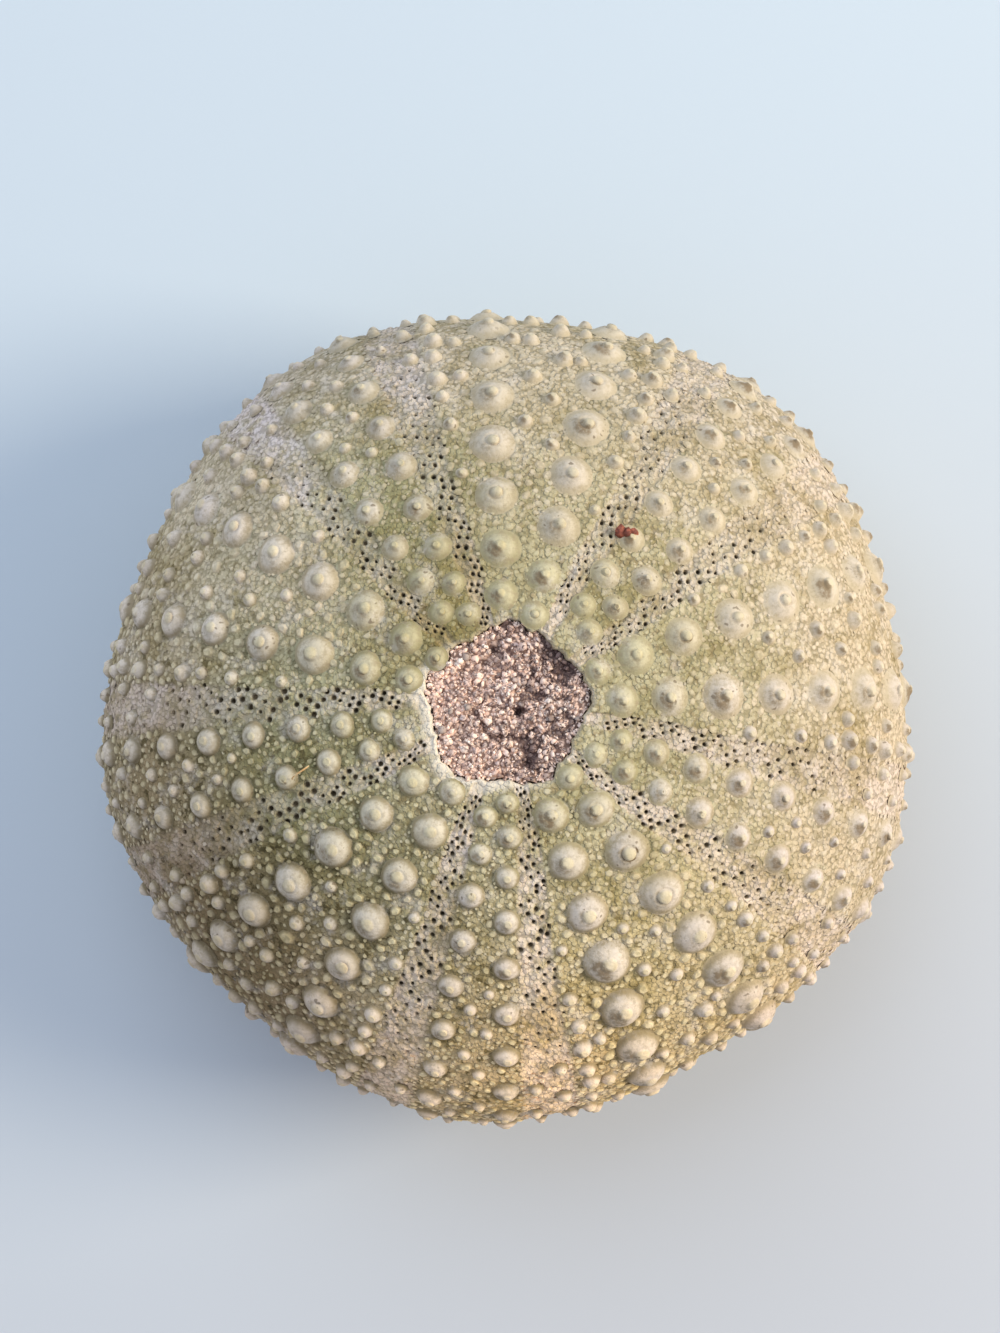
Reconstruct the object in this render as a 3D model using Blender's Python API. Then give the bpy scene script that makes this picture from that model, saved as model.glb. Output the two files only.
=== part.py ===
"""A sea urchin's test, filled with sand, lying on its mouth.

Two objects: the test, a hollow shell of plates with a tubercle on each plate, and the sand that fills it.
Metres, +Z up. The test's axis of growth is Z, and the lowest tubercles rest on the plane Z = 0.

A place on the test is given by its azimuth in degrees and its reach, which is the distance walked down
the outside of the shell from the pole above the apical hole. A height is measured outwards from there.
"""

import math
from collections import namedtuple

import bmesh
import bpy
import numpy as np
from mathutils import Vector

MM = 0.001

# The meridian: an upper and a lower half superellipse that meet at the ambitus, the widest ring
AMBITUS_RADIUS = 29.3 * MM
AMBITUS_HEIGHT = 13.5 * MM
UPPER_RISE = 16.6 * MM
UPPER_POWER = 2.15
LOWER_DROP = 14.6 * MM
LOWER_POWER = 2.6
MOUTH_HOLLOW = 4.2 * MM  # how far the underside turns up towards the mouth
MOUTH_HOLLOW_RADIUS = 20.0 * MM
MERIDIAN_POINTS = 3000
MERIDIAN_MARGIN = 0.02  # radians of the meridian left out at each pole

# Openings and wall
APICAL_RADIUS = 5.4 * MM
APICAL_WAVE = 0.07  # share of the radius by which the hole reaches out towards each interambulacrum
MOUTH_RADIUS = 11.5 * MM
WALL = 1.2 * MM

# Five-fold symmetry
RAYS = 5
RAY_ANGLE = 360.0 / RAYS
AMBULACRUM_AZIMUTH = 48.0
INTERAMBULACRUM_AZIMUTH = 12.0
RAY_BULGE = 0.02  # share of the radius by which each ambulacrum stands out
AMBULACRAL_HALF = 8.5  # degrees from an ambulacrum's middle to its pores
INTERAMBULACRAL_HALF = 19.5  # degrees from an interambulacrum's middle to the pores

# Columns of plates: the step from plate to plate is full size between the holes, and less beside them
Column = namedtuple("Column", "azimuth half step shortfall fade start tubercle small small_fade rise sides")
AMBULACRAL = Column(
    azimuth=5.5,
    half=AMBULACRAL_HALF,
    step=3.7 * MM,
    shortfall=2.0 * MM,
    fade=6.5 * MM,
    start=6.62 * MM,
    tubercle=0.92 * MM,
    small=0.38 * MM,
    small_fade=6.0 * MM,
    rise=0.72,
    sides=5,
)
INTERAMBULACRAL = Column(
    azimuth=9.3,
    half=INTERAMBULACRAL_HALF,
    step=4.05 * MM,
    shortfall=2.6 * MM,
    fade=3.0 * MM,
    start=6.29 * MM,
    tubercle=1.45 * MM,
    small=0.75 * MM,
    small_fade=3.5 * MM,
    rise=0.65,
    sides=6,
)
# Where each column's first tubercle sits, in plates past the start: the column on the falling side of
# the ray's middle, then the one on the rising side, for each ray in turn
AMBULACRAL_FIRST = ((0.30, 0.77), (0.03, 0.50), (0.87, 0.35), (0.45, -0.05), (0.00, 0.55))
INTERAMBULACRAL_FIRST = ((0.52, 0.03), (0.00, 0.47), (-0.25, 0.28), (0.72, 0.28), (0.62, 0.00))
LAST_CLEAR = 1.1 * MM  # the least reach left between a column's last tubercle and the mouth
ZIGZAG = 0.7 * MM  # half the width of the zigzag where a ray's two columns meet
SCALLOP_CLEAR = 1.3  # tubercle radii of rim kept above a tubercle that sits at the apical hole
SCALLOP_WIDTH = 7.0  # degrees

# Tubercle: a boss that steps in to a shoulder and ends in a rounded knob
SHOULDER_SHARE = 0.60
SHOULDER_RISE = 0.72
SIZE_SPREAD = 0.07
PLACE_SPREAD = 0.10 * MM
SCATTER_SIZE = 43758.5

# Inner wall and sand
INNER_SIDES = 20
INNER_ROWS = 7
INNER_AZIMUTHS = [(AMBULACRUM_AZIMUTH + 360.0 * side / INNER_SIDES) % 360 for side in range(INNER_SIDES)]
SAND_GAP = 0.3 * MM
NECK_GAP = 0.45 * MM
SAND_SUNK = 0.9 * MM
NECK_DEPTH = 0.8 * MM
SAND_FOOT_RADIUS = 10.2 * MM
SAND_RINGS = (0.8, 0.6, 0.4, 0.2)
SAND_MOUND = 0.35 * MM
SAND_LUMP_HEIGHT = 0.11 * MM
BROAD_LUMP = 2.6 * MM  # across two lumps
FINE_LUMP = 1.6 * MM

# Finish: linear colours
TEST_COLOUR = (0.50, 0.46, 0.29, 1.0)
TEST_ROUGHNESS = 0.8
SAND_COLOUR = (0.52, 0.38, 0.31, 1.0)
SAND_ROUGHNESS = 0.95
SHARP_EDGE = math.radians(50)

Corner = namedtuple("Corner", "vert azimuth reach")
Tubercle = namedtuple("Tubercle", "azimuth reach radius height sides")


def meridian():
    """The wall's outline from pole to mouth side: reach, radius, height and outward normal at each point."""
    turn = np.linspace(MERIDIAN_MARGIN, math.pi - MERIDIAN_MARGIN, MERIDIAN_POINTS)
    radius = AMBITUS_RADIUS * np.sin(turn)
    share = np.minimum(radius / AMBITUS_RADIUS, 1.0)
    upper = UPPER_RISE * (1 - share**UPPER_POWER) ** (1 / UPPER_POWER)
    lower = -LOWER_DROP * (1 - share**LOWER_POWER) ** (1 / LOWER_POWER)
    hollow = MOUTH_HOLLOW * np.clip(1 - (radius / MOUTH_HOLLOW_RADIUS) ** 2, 0, None) ** 2
    height = AMBITUS_HEIGHT + np.where(turn < math.pi / 2, upper, lower + hollow)
    along = np.hypot(np.diff(radius), np.diff(height))
    reach = radius[0] + np.concatenate(([0.0], np.cumsum(along)))
    out, up = -np.gradient(height, reach), np.gradient(radius, reach)
    return reach, radius, height, out, up


MERIDIAN = meridian()
MOUTH_REACH = float(MERIDIAN[0][np.nonzero(MERIDIAN[1] > MOUTH_RADIUS)[0][-1]])


def at_reach(reach):
    """Radius, height and outward normal of the wall at this reach."""
    return [float(np.interp(reach, MERIDIAN[0], values)) for values in MERIDIAN[1:]]


def on_test(azimuth, reach, height=0.0):
    """The point this high above the wall's outside."""
    radius, level, out, up = at_reach(reach)
    ray_turn = math.radians(RAYS * (azimuth - AMBULACRUM_AZIMUTH))
    bulge = 1 + RAY_BULGE * math.cos(ray_turn) * (radius / AMBITUS_RADIUS) ** 2
    turn = math.radians(azimuth)
    across = radius * bulge + out * height
    return Vector((across * math.cos(turn), across * math.sin(turn), level + up * height))


def rim_plain(azimuth):
    """Reach of the apical hole's edge, before the first tubercles push it in."""
    ray_turn = math.radians(RAYS * (azimuth - INTERAMBULACRUM_AZIMUTH))
    return APICAL_RADIUS * (1 + APICAL_WAVE * math.cos(ray_turn))


def scatter(ray, side, plate, which):
    """A fixed number between -1 and 1 for each plate: what follows the point in a large sine."""
    value = math.sin(12.99 * ray + 78.23 * side + 37.72 * plate + 4.58 * which) * SCATTER_SIZE
    return 2 * (value - math.floor(value)) - 1


def edge_fade(reach, fade):
    """1 at the edge of either hole, falling off between them."""
    return np.exp(-(reach - APICAL_RADIUS) / fade) + np.exp(-(MOUTH_REACH - reach) / fade)


def plate_reaches(column, first):
    """Reaches of a column's tubercles, each one step past the last, and of the plates' bounds."""
    reach = np.linspace(APICAL_RADIUS / 2, MOUTH_REACH, MERIDIAN_POINTS)
    step = np.maximum(column.step - column.shortfall * edge_fade(reach, column.fade), column.step / 4)
    count = np.concatenate(([0.0], np.cumsum(np.diff(reach) / step[1:])))
    count -= np.interp(column.start, reach, count)
    last = float(np.interp(MOUTH_REACH - LAST_CLEAR, reach, count))
    numbers = np.arange(first, last)
    bounds = np.arange(first + 0.5, numbers[-1])
    return np.interp(numbers, count, reach).tolist(), np.interp(bounds, count, reach).tolist()


def tubercles_of(column, ray, side, middle, reaches):
    """One tubercle on each plate, a little off in place and size."""
    found = []
    for plate, reach in enumerate(reaches):
        radius = column.tubercle - column.small * edge_fade(reach, column.small_fade)
        radius *= 1 + SIZE_SPREAD * scatter(ray, side, plate, 0)
        wander = math.degrees(PLACE_SPREAD * scatter(ray, side, plate, 1) / at_reach(reach)[0])
        azimuth = middle + side * column.azimuth + wander
        found.append(Tubercle(azimuth, reach, radius, radius * column.rise, column.sides))
    return found


def layout(column, first_azimuth, firsts):
    """For each ray, its middle azimuth and its two columns as side, tubercles and plate bounds."""
    rays = []
    for ray in range(RAYS):
        middle = first_azimuth + RAY_ANGLE * ray
        pair = []
        for side, first in zip((-1, 1), firsts[ray]):
            reaches, bounds = plate_reaches(column, first)
            pair.append((side, tubercles_of(column, ray, side, middle, reaches), bounds))
        rays.append((middle, pair))
    return rays


AMBULACRA = layout(AMBULACRAL, AMBULACRUM_AZIMUTH, AMBULACRAL_FIRST)
INTERAMBULACRA = layout(INTERAMBULACRAL, INTERAMBULACRUM_AZIMUTH, INTERAMBULACRAL_FIRST)


def scallops():
    """Azimuth and depth of each place where a first tubercle pushes the apical hole's edge in."""
    found = []
    for _, pair in AMBULACRA + INTERAMBULACRA:
        for _, tubercles, _ in pair:
            first = tubercles[0]
            depth = rim_plain(first.azimuth) - (first.reach - SCALLOP_CLEAR * first.radius)
            found.append((first.azimuth, max(depth, 0.0)))
    return found


SCALLOPS = scallops()


def rim_reach(azimuth):
    """Reach of the apical hole's edge, scalloped round the first tubercles."""
    pushed = 0.0
    for centre, depth in SCALLOPS:
        away = (azimuth - centre + 180) % 360 - 180
        pushed = max(pushed, depth * math.exp(-((away / SCALLOP_WIDTH) ** 2)))
    return rim_plain(azimuth) - pushed


def corner(mesh, azimuth, reach):
    return Corner(mesh.verts.new(on_test(azimuth, reach)), azimuth, reach)


def zip_chains(mesh, first, second):
    """Fills the strip between two chains of (key, vert), each in rising order of key, with triangles."""
    i, j = 0, 0
    while i < len(first) - 1 or j < len(second) - 1:
        rest_first = first[i + 1][0] if i < len(first) - 1 else math.inf
        rest_second = second[j + 1][0] if j < len(second) - 1 else math.inf
        if rest_first <= rest_second:
            mesh.faces.new((first[i][1], first[i + 1][1], second[j][1]))
            i += 1
        else:
            mesh.faces.new((first[i][1], second[j + 1][1], second[j][1]))
            j += 1


def zip_rings(mesh, outer, inner, full):
    """Fills the band between two rings of (key, vert), whose keys go round to full.

    The inner ring starts from its vertex nearest the outer ring's first, on whichever side that is.
    """
    outer = sorted(outer, key=lambda item: item[0])
    start = outer[0][0]
    nearest = min(inner, key=lambda item: abs((item[0] - start + full / 2) % full - full / 2))[0]
    begin = start + (nearest - start + full / 2) % full - full / 2
    inner = sorted(((begin + (key - nearest) % full, vert) for key, vert in inner), key=lambda item: item[0])
    outer.append((start + full, outer[0][1]))
    inner.append((begin + full, inner[0][1]))
    zip_chains(mesh, outer, inner)


def tubercle_ring(mesh, tubercle, radius, height):
    """Vertices in a ring round a tubercle's middle, each with its angle there."""
    found = []
    across = at_reach(tubercle.reach)[0]
    for side in range(tubercle.sides):
        angle = 2 * math.pi * side / tubercle.sides
        azimuth = tubercle.azimuth + math.degrees(radius * math.cos(angle) / across)
        reach = tubercle.reach + radius * math.sin(angle)
        found.append((angle, mesh.verts.new(on_test(azimuth, reach, height))))
    return found


def add_plate(mesh, corners, tubercle):
    """One plate: a skirt from its corners to the foot of its tubercle, and the tubercle itself."""
    across = at_reach(tubercle.reach)[0]
    edge = []
    for item in corners:
        right = math.radians(item.azimuth - tubercle.azimuth) * across
        angle = math.atan2(item.reach - tubercle.reach, right) % (2 * math.pi)
        edge.append((angle, item.vert))
    foot = tubercle_ring(mesh, tubercle, tubercle.radius, 0.0)
    shoulder_height = tubercle.height * SHOULDER_RISE
    shoulder = tubercle_ring(mesh, tubercle, tubercle.radius * SHOULDER_SHARE, shoulder_height)
    tip = mesh.verts.new(on_test(tubercle.azimuth, tubercle.reach, tubercle.height))
    zip_rings(mesh, edge, foot, 2 * math.pi)
    for side in range(tubercle.sides):
        after = (side + 1) % tubercle.sides
        mesh.faces.new((foot[side][1], foot[after][1], shoulder[after][1], shoulder[side][1]))
        mesh.faces.new((shoulder[side][1], shoulder[after][1], tip))


def seam(mesh, azimuth, bounds):
    """Corners down one line of the test, from the apical hole to the mouth. Bounds are (reach, aside)."""
    found = [corner(mesh, azimuth, rim_reach(azimuth))]
    for reach, aside in sorted(bounds):
        shifted = azimuth + math.degrees(aside / at_reach(reach)[0])
        found.append(corner(mesh, shifted, reach))
    found.append(corner(mesh, azimuth, MOUTH_REACH))
    return found


def add_ray(mesh, column, middle, pair):
    """A ray's two columns of plates. Gives back its outer seams and every corner on the two rims."""
    zigzag = [(reach, side * ZIGZAG) for side, _, bounds in pair for reach in bounds]
    median = seam(mesh, middle, zigzag)
    top, bottom, outers = [median[0]], [median[-1]], []
    for side, tubercles, bounds in pair:
        outer = seam(mesh, middle + side * column.half, [(reach, 0.0) for reach in bounds])
        brow = corner(mesh, tubercles[0].azimuth, rim_reach(tubercles[0].azimuth))
        limits = [0.0] + bounds + [math.inf]
        for plate, tubercle in enumerate(tubercles):
            low, high = limits[plate], limits[plate + 1]
            inside = [item for item in median + outer if low <= item.reach <= high]
            add_plate(mesh, inside + ([brow] if plate == 0 else []), tubercle)
        top += [outer[0], brow]
        bottom.append(outer[-1])
        outers.append(outer)
    return outers, top, bottom


def ring_along(mesh, height, clearance=0.0, share=0.0):
    """A ring of the inside this share of the way from the apical hole's edge to the mouth's.

    It is (azimuth, vert) for each side, and the clearance keeps it that much nearer the pole.
    """
    found = []
    for azimuth in INNER_AZIMUTHS:
        reach = rim_reach(azimuth) * (1 - share) + MOUTH_REACH * share - clearance
        found.append((azimuth, mesh.verts.new(on_test(azimuth, reach, height))))
    return found


def level_ring(mesh, radius, height):
    """A level ring of the sand, as (azimuth, vert)."""
    found = []
    for azimuth in INNER_AZIMUTHS:
        turn = math.radians(azimuth)
        found.append((azimuth, mesh.verts.new((radius * math.cos(turn), radius * math.sin(turn), height))))
    return found


def inner_rings(mesh, height):
    """Rings down the inside from the apical hole's edge to the mouth's, at this height."""
    return [ring_along(mesh, height, share=row / INNER_ROWS) for row in range(INNER_ROWS + 1)]


def add_band(mesh, above, below):
    """Fills the band between two rings of the inside."""
    for side in range(INNER_SIDES):
        after = (side + 1) % INNER_SIDES
        mesh.faces.new((above[side][1], above[after][1], below[after][1], below[side][1]))


def finish_object(mesh, name, colour, roughness):
    """Turns a bmesh into an object with its own material, shaded smooth but for its sharp edges."""
    bmesh.ops.recalc_face_normals(mesh, faces=mesh.faces)
    data = bpy.data.meshes.new(name)
    mesh.to_mesh(data)
    mesh.free()
    data.shade_smooth()
    data.set_sharp_from_angle(angle=SHARP_EDGE)
    material = bpy.data.materials.new(name)
    material.use_nodes = True
    shader = material.node_tree.nodes["Principled BSDF"]
    shader.inputs["Base Color"].default_value = colour
    shader.inputs["Roughness"].default_value = roughness
    shader.inputs["Metallic"].default_value = 0.0
    data.materials.append(material)
    piece = bpy.data.objects.new(name, data)
    bpy.context.scene.collection.objects.link(piece)
    return piece


def wear_flat(mesh):
    """Wears the lowest tubercles flat where the test rests, at Z = 0."""
    everything = mesh.verts[:] + mesh.edges[:] + mesh.faces[:]
    cut = bmesh.ops.bisect_plane(
        mesh, geom=everything, plane_co=(0, 0, 0), plane_no=(0, 0, -1), clear_outer=True
    )
    rims = [item for item in cut["geom_cut"] if isinstance(item, bmesh.types.BMEdge)]
    bmesh.ops.holes_fill(mesh, edges=rims)


def make_test():
    """The shell: plates and pore zones outside, a smooth wall inside, and the two rims between them."""
    mesh = bmesh.new()
    top, bottom, seams = [], [], []
    for column, rays in ((AMBULACRAL, AMBULACRA), (INTERAMBULACRAL, INTERAMBULACRA)):
        for middle, pair in rays:
            outers, ray_top, ray_bottom = add_ray(mesh, column, middle, pair)
            top += ray_top
            bottom += ray_bottom
            seams += outers
    # The pore zones lie between neighbouring columns of the two kinds
    seams.sort(key=lambda line: line[0].azimuth % 360)
    for left, right in zip(seams[0::2], seams[1::2]):
        if (right[0].azimuth - left[0].azimuth) % 360 > 2 * AMBULACRAL_HALF:
            raise ValueError("these two seams aren't on the two sides of one pore zone")
        zip_chains(mesh, [(c.reach, c.vert) for c in left], [(c.reach, c.vert) for c in right])
    inside = inner_rings(mesh, -WALL)
    for above, below in zip(inside, inside[1:]):
        add_band(mesh, above, below)
    zip_rings(mesh, [(c.azimuth % 360, c.vert) for c in top], inside[0], 360.0)
    zip_rings(mesh, [(c.azimuth % 360, c.vert) for c in bottom], inside[-1], 360.0)
    wear_flat(mesh)
    return finish_object(mesh, "test", TEST_COLOUR, TEST_ROUGHNESS)


def sand_level(x, y):
    """Height of the sand's top over its edge: a low mound with two sizes of lump."""
    away = math.hypot(x, y) / APICAL_RADIUS
    broad, fine = 2 * math.pi / BROAD_LUMP, 2 * math.pi / FINE_LUMP
    lumps = math.sin(broad * x) * math.cos(broad * y) + math.sin(fine * (x + y))
    return SAND_MOUND * (1 - away**2) + SAND_LUMP_HEIGHT * lumps


def add_sand_top(mesh, edge):
    """The rough surface seen in the apical hole, inside this edge ring."""
    level = sum(vert.co.z for _, vert in edge) / len(edge)
    outer = edge
    for share in SAND_RINGS:
        ring = []
        for azimuth, vert in edge:
            x, y = vert.co.x * share, vert.co.y * share
            ring.append((azimuth, mesh.verts.new((x, y, level + sand_level(x, y)))))
        add_band(mesh, outer, ring)
        outer = ring
    middle = mesh.verts.new((0, 0, level + sand_level(0, 0)))
    for side in range(INNER_SIDES):
        mesh.faces.new((outer[side][1], outer[(side + 1) % INNER_SIDES][1], middle))


def make_sand_fill():
    """The sand: its rough top, a neck in each hole, its body inside the wall, and a flat foot."""
    mesh = bmesh.new()
    top = ring_along(mesh, -SAND_SUNK, clearance=NECK_GAP)
    neck = ring_along(mesh, -SAND_SUNK - NECK_DEPTH, clearance=NECK_GAP)
    body = [ring_along(mesh, -WALL - SAND_GAP, share=row / INNER_ROWS) for row in range(1, INNER_ROWS + 1)]
    mouth_level = at_reach(MOUTH_REACH)[1]
    throat = level_ring(mesh, MOUTH_RADIUS - NECK_GAP, mouth_level + WALL)
    lip = level_ring(mesh, MOUTH_RADIUS - NECK_GAP, mouth_level)
    foot = level_ring(mesh, SAND_FOOT_RADIUS, 0.0)
    rings = [top, neck] + body + [throat, lip, foot]
    for above, below in zip(rings, rings[1:]):
        add_band(mesh, above, below)
    mesh.faces.new([vert for _, vert in foot])
    add_sand_top(mesh, top)
    return finish_object(mesh, "sand_fill", SAND_COLOUR, SAND_ROUGHNESS)


def main():
    for item in list(bpy.data.objects):
        bpy.data.objects.remove(item, do_unlink=True)
    make_test()
    make_sand_fill()


main()
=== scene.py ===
import math
from collections import namedtuple

import bpy
import numpy as np
from mathutils.kdtree import KDTree
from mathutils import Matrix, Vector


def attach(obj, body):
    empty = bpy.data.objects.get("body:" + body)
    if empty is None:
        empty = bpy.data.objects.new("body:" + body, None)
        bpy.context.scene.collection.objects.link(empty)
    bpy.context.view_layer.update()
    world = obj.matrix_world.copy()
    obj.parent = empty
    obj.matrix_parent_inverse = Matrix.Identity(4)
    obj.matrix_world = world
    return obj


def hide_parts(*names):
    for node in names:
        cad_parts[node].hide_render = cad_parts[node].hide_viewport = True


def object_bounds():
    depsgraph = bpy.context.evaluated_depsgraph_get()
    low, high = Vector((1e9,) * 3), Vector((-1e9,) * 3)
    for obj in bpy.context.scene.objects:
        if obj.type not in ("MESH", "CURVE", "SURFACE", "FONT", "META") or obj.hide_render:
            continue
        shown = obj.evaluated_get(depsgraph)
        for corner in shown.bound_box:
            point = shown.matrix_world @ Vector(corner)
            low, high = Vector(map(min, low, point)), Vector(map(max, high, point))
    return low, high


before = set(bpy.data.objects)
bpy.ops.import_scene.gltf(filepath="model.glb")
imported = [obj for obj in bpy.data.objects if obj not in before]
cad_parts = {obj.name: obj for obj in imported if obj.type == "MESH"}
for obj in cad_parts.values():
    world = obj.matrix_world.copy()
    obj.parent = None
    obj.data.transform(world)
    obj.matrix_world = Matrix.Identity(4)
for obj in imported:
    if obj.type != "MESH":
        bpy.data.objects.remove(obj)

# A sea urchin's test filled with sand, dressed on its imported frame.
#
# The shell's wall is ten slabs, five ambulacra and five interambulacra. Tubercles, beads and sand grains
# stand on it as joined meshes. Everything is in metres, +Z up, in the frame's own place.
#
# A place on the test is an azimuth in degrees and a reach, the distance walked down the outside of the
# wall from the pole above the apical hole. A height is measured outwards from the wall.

CAD_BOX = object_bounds()
MM = 0.001
BOX_CLEAR = np.array([0.001, 0.001, 0.0]) * MM  # nothing passes the solids' box

# The meridian: an upper and a lower half superellipse that meet at the ambitus, the widest ring
AMBITUS_RADIUS = 29.3 * MM
AMBITUS_HEIGHT = 13.5 * MM
UPPER_RISE = 16.6 * MM
UPPER_POWER = 2.15
LOWER_DROP = 14.6 * MM
LOWER_POWER = 2.6
MOUTH_HOLLOW = 4.2 * MM
MOUTH_HOLLOW_RADIUS = 20.0 * MM
MERIDIAN_POINTS = 3000
MERIDIAN_MARGIN = 0.02

# Openings and wall
APICAL_RADIUS = 5.4 * MM
APICAL_WAVE = 0.07
MOUTH_RADIUS = 11.5 * MM
WALL = 1.2 * MM
LIP_ROUND = 0.30 * MM
RIM_SHIFT = 0.18 * MM  # the apical hole lies this much to the -X side
RIM_CHIPS = 0.07 * MM  # how far the apical rim's edge wanders

# Five-fold symmetry
RAYS = 5
RAY_ANGLE = 360.0 / RAYS
AMBULACRUM_AZIMUTH = 48.0
INTERAMBULACRUM_AZIMUTH = 12.0
RAY_BULGE = 0.02
PORES_FROM, PORES_TO = 8.5, 16.5  # degrees from an ambulacrum's middle, over which its pores lie
INTERAMBULACRAL_HALF = 19.5
SEAM_SHIFT = 3.2  # degrees by which each side of an ambulacrum is wider at the apical hole
SEAM_SHIFT_REACHES = 7 * MM, 17 * MM  # and the reaches over which that falls to nothing

Column = namedtuple("Column", "azimuth step shortfall fade start tubercle small small_fade rise")
AMBULACRAL = Column(
    azimuth=5.5,
    step=3.7 * MM,
    shortfall=2.0 * MM,
    fade=6.5 * MM,
    start=6.62 * MM,
    tubercle=0.88 * MM,
    small=0.25 * MM,
    small_fade=6.0 * MM,
    rise=0.72,
)
INTERAMBULACRAL = Column(
    azimuth=9.3,
    step=4.05 * MM,
    shortfall=2.6 * MM,
    fade=3.0 * MM,
    start=6.29 * MM,
    tubercle=1.45 * MM,
    small=0.75 * MM,
    small_fade=3.5 * MM,
    rise=0.65,
)
AMBULACRAL_FIRST = ((0.30, 0.77), (0.03, 0.50), (0.87, 0.35), (0.45, -0.05), (0.00, 0.55))
INTERAMBULACRAL_FIRST = ((0.52, 0.03), (0.00, 0.47), (-0.25, 0.28), (0.72, 0.28), (0.62, 0.00))
LAST_CLEAR = 1.1 * MM  # from the last tubercle of a column to the mouth's edge
# Size of each interambulacrum's tubercles near the apical hole, and far from it
RAY_SIZES = ((0.84, 0.82), (0.87, 0.82), (0.86, 0.74), (0.86, 0.85), (0.96, 1.0))
SCALLOP_CLEAR = 1.3  # how far off a first tubercle's middle the rim stays, in its radii
SCALLOP_WIDTH = 7.0  # in degrees
SIZE_SPREAD = 0.07
PLACE_SPREAD = 0.10 * MM
SCATTER_SIZE = 43758.5  # so large that what follows the point looks random

Tubercles = namedtuple("Tubercles", "azimuth reach radius height ray")
rng = np.random.default_rng(5)


# ---------------------------------------------------------------- shape of the test


def smooth(value, low, high):
    """0 below low, 1 above high, and 3t^2 - 2t^3 between them."""
    t = np.clip((value - low) / (high - low), 0, 1)
    return t * t * (3 - 2 * t)


def bell(value, middle, width):
    """A Gaussian: 1 at the middle, 1/e a width away from it."""
    return np.exp(-(((value - middle) / width) ** 2))


def seam_shift(reach):
    """Degrees added to an ambulacrum's half angle, and taken from an interambulacrum's."""
    return SEAM_SHIFT * (1 - smooth(reach, *SEAM_SHIFT_REACHES))


def ambulacral_half(reach):
    """Half the angle that an ambulacrum takes up, in degrees."""
    return PORES_TO + seam_shift(reach)


def interambulacral_half(reach):
    """Half the angle that an interambulacrum takes up, in degrees."""
    return INTERAMBULACRAL_HALF - seam_shift(reach)


def pore_band(off, reach):
    """1 over an ambulacrum's pore zone, 0 in its middle and past its edge, for degrees off its middle."""
    off = np.abs(off) * PORES_TO / ambulacral_half(reach)
    return smooth(off, PORES_FROM - 0.9, PORES_FROM + 0.4) * (1 - smooth(off, PORES_TO - 1.1, PORES_TO))


def meridian():
    """Radius A sin t; height from the two half superellipses, the mouth's hollow added below."""
    turn = np.linspace(MERIDIAN_MARGIN, math.pi - MERIDIAN_MARGIN, MERIDIAN_POINTS)
    radius = AMBITUS_RADIUS * np.sin(turn)
    share = np.minimum(radius / AMBITUS_RADIUS, 1.0)
    upper = UPPER_RISE * (1 - share**UPPER_POWER) ** (1 / UPPER_POWER)
    lower = -LOWER_DROP * (1 - share**LOWER_POWER) ** (1 / LOWER_POWER)
    hollow = MOUTH_HOLLOW * np.clip(1 - (radius / MOUTH_HOLLOW_RADIUS) ** 2, 0, None) ** 2
    height = AMBITUS_HEIGHT + np.where(turn < math.pi / 2, upper, lower + hollow)
    reach = radius[0] + np.concatenate(([0.0], np.cumsum(np.hypot(np.diff(radius), np.diff(height)))))
    return reach, radius, height, -np.gradient(height, reach), np.gradient(radius, reach)


MERIDIAN = meridian()
MOUTH_REACH = float(MERIDIAN[0][np.nonzero(MERIDIAN[1] > MOUTH_RADIUS)[0][-1]])


def wall_at(reach):
    """Radius, height and outward normal (out, up) of the wall at each reach."""
    return [np.interp(reach, MERIDIAN[0], values) for values in MERIDIAN[1:]]


def arc(degrees, reach):
    """Length of an arc of this many degrees round the wall."""
    return np.radians(degrees) * wall_at(reach)[0]


def arc_degrees(length, reach):
    """Degrees of an arc of this length round the wall."""
    return np.degrees(length / wall_at(reach)[0])


def on_test(azimuth, reach, height=0.0):
    """Points this high above the wall: the meridian turned to its azimuth, bulged at the ambulacra."""
    azimuth, reach, height = np.broadcast_arrays(azimuth, reach, height)
    radius, level, out, up = wall_at(reach)
    ray_turn = np.radians(RAYS * (azimuth - AMBULACRUM_AZIMUTH))
    bulge = 1 + RAY_BULGE * np.cos(ray_turn) * (radius / AMBITUS_RADIUS) ** 2
    across = radius * bulge + out * height
    turn = np.radians(azimuth)
    return np.stack((across * np.cos(turn), across * np.sin(turn), level + up * height), axis=-1)


def axes_on_test(azimuth, reach):
    """Unit vectors round the test, down the wall and out of it at each place."""
    _, _, out, up = wall_at(reach)
    turn = np.radians(azimuth)
    cos, sin, none = np.cos(turn), np.sin(turn), np.zeros_like(turn)
    around = np.stack((-sin, cos, none), axis=-1)
    down = np.stack((up * cos, up * sin, -out), axis=-1)
    outward = np.stack((out * cos, out * sin, up), axis=-1)
    return around, down, outward


def cloud(points, cell, seed):
    """Value noise from -1 to 1: a hashed number at each corner of a cell, blended by 3t^2 - 2t^3."""
    scaled = np.asarray(points) / cell + 512.0
    base = np.floor(scaled).astype(np.int64)
    part = scaled - base
    part = part * part * (3 - 2 * part)
    total = np.zeros(scaled.shape[:-1])
    for corner in range(8):
        step = np.array([corner & 1, corner >> 1 & 1, corner >> 2 & 1])
        x, y, z = np.moveaxis(base + step, -1, 0)
        mixed = (x * 73856093) ^ (y * 19349663) ^ (z * 83492791) ^ (seed * 2654435761)
        mixed = (mixed ^ (mixed >> 13)) * 1274126177 & 0x7FFFFFFF
        weight = np.prod(np.where(step, part, 1 - part), axis=-1)
        total += weight * (mixed / 0x3FFFFFFF - 1)
    return total


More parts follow.
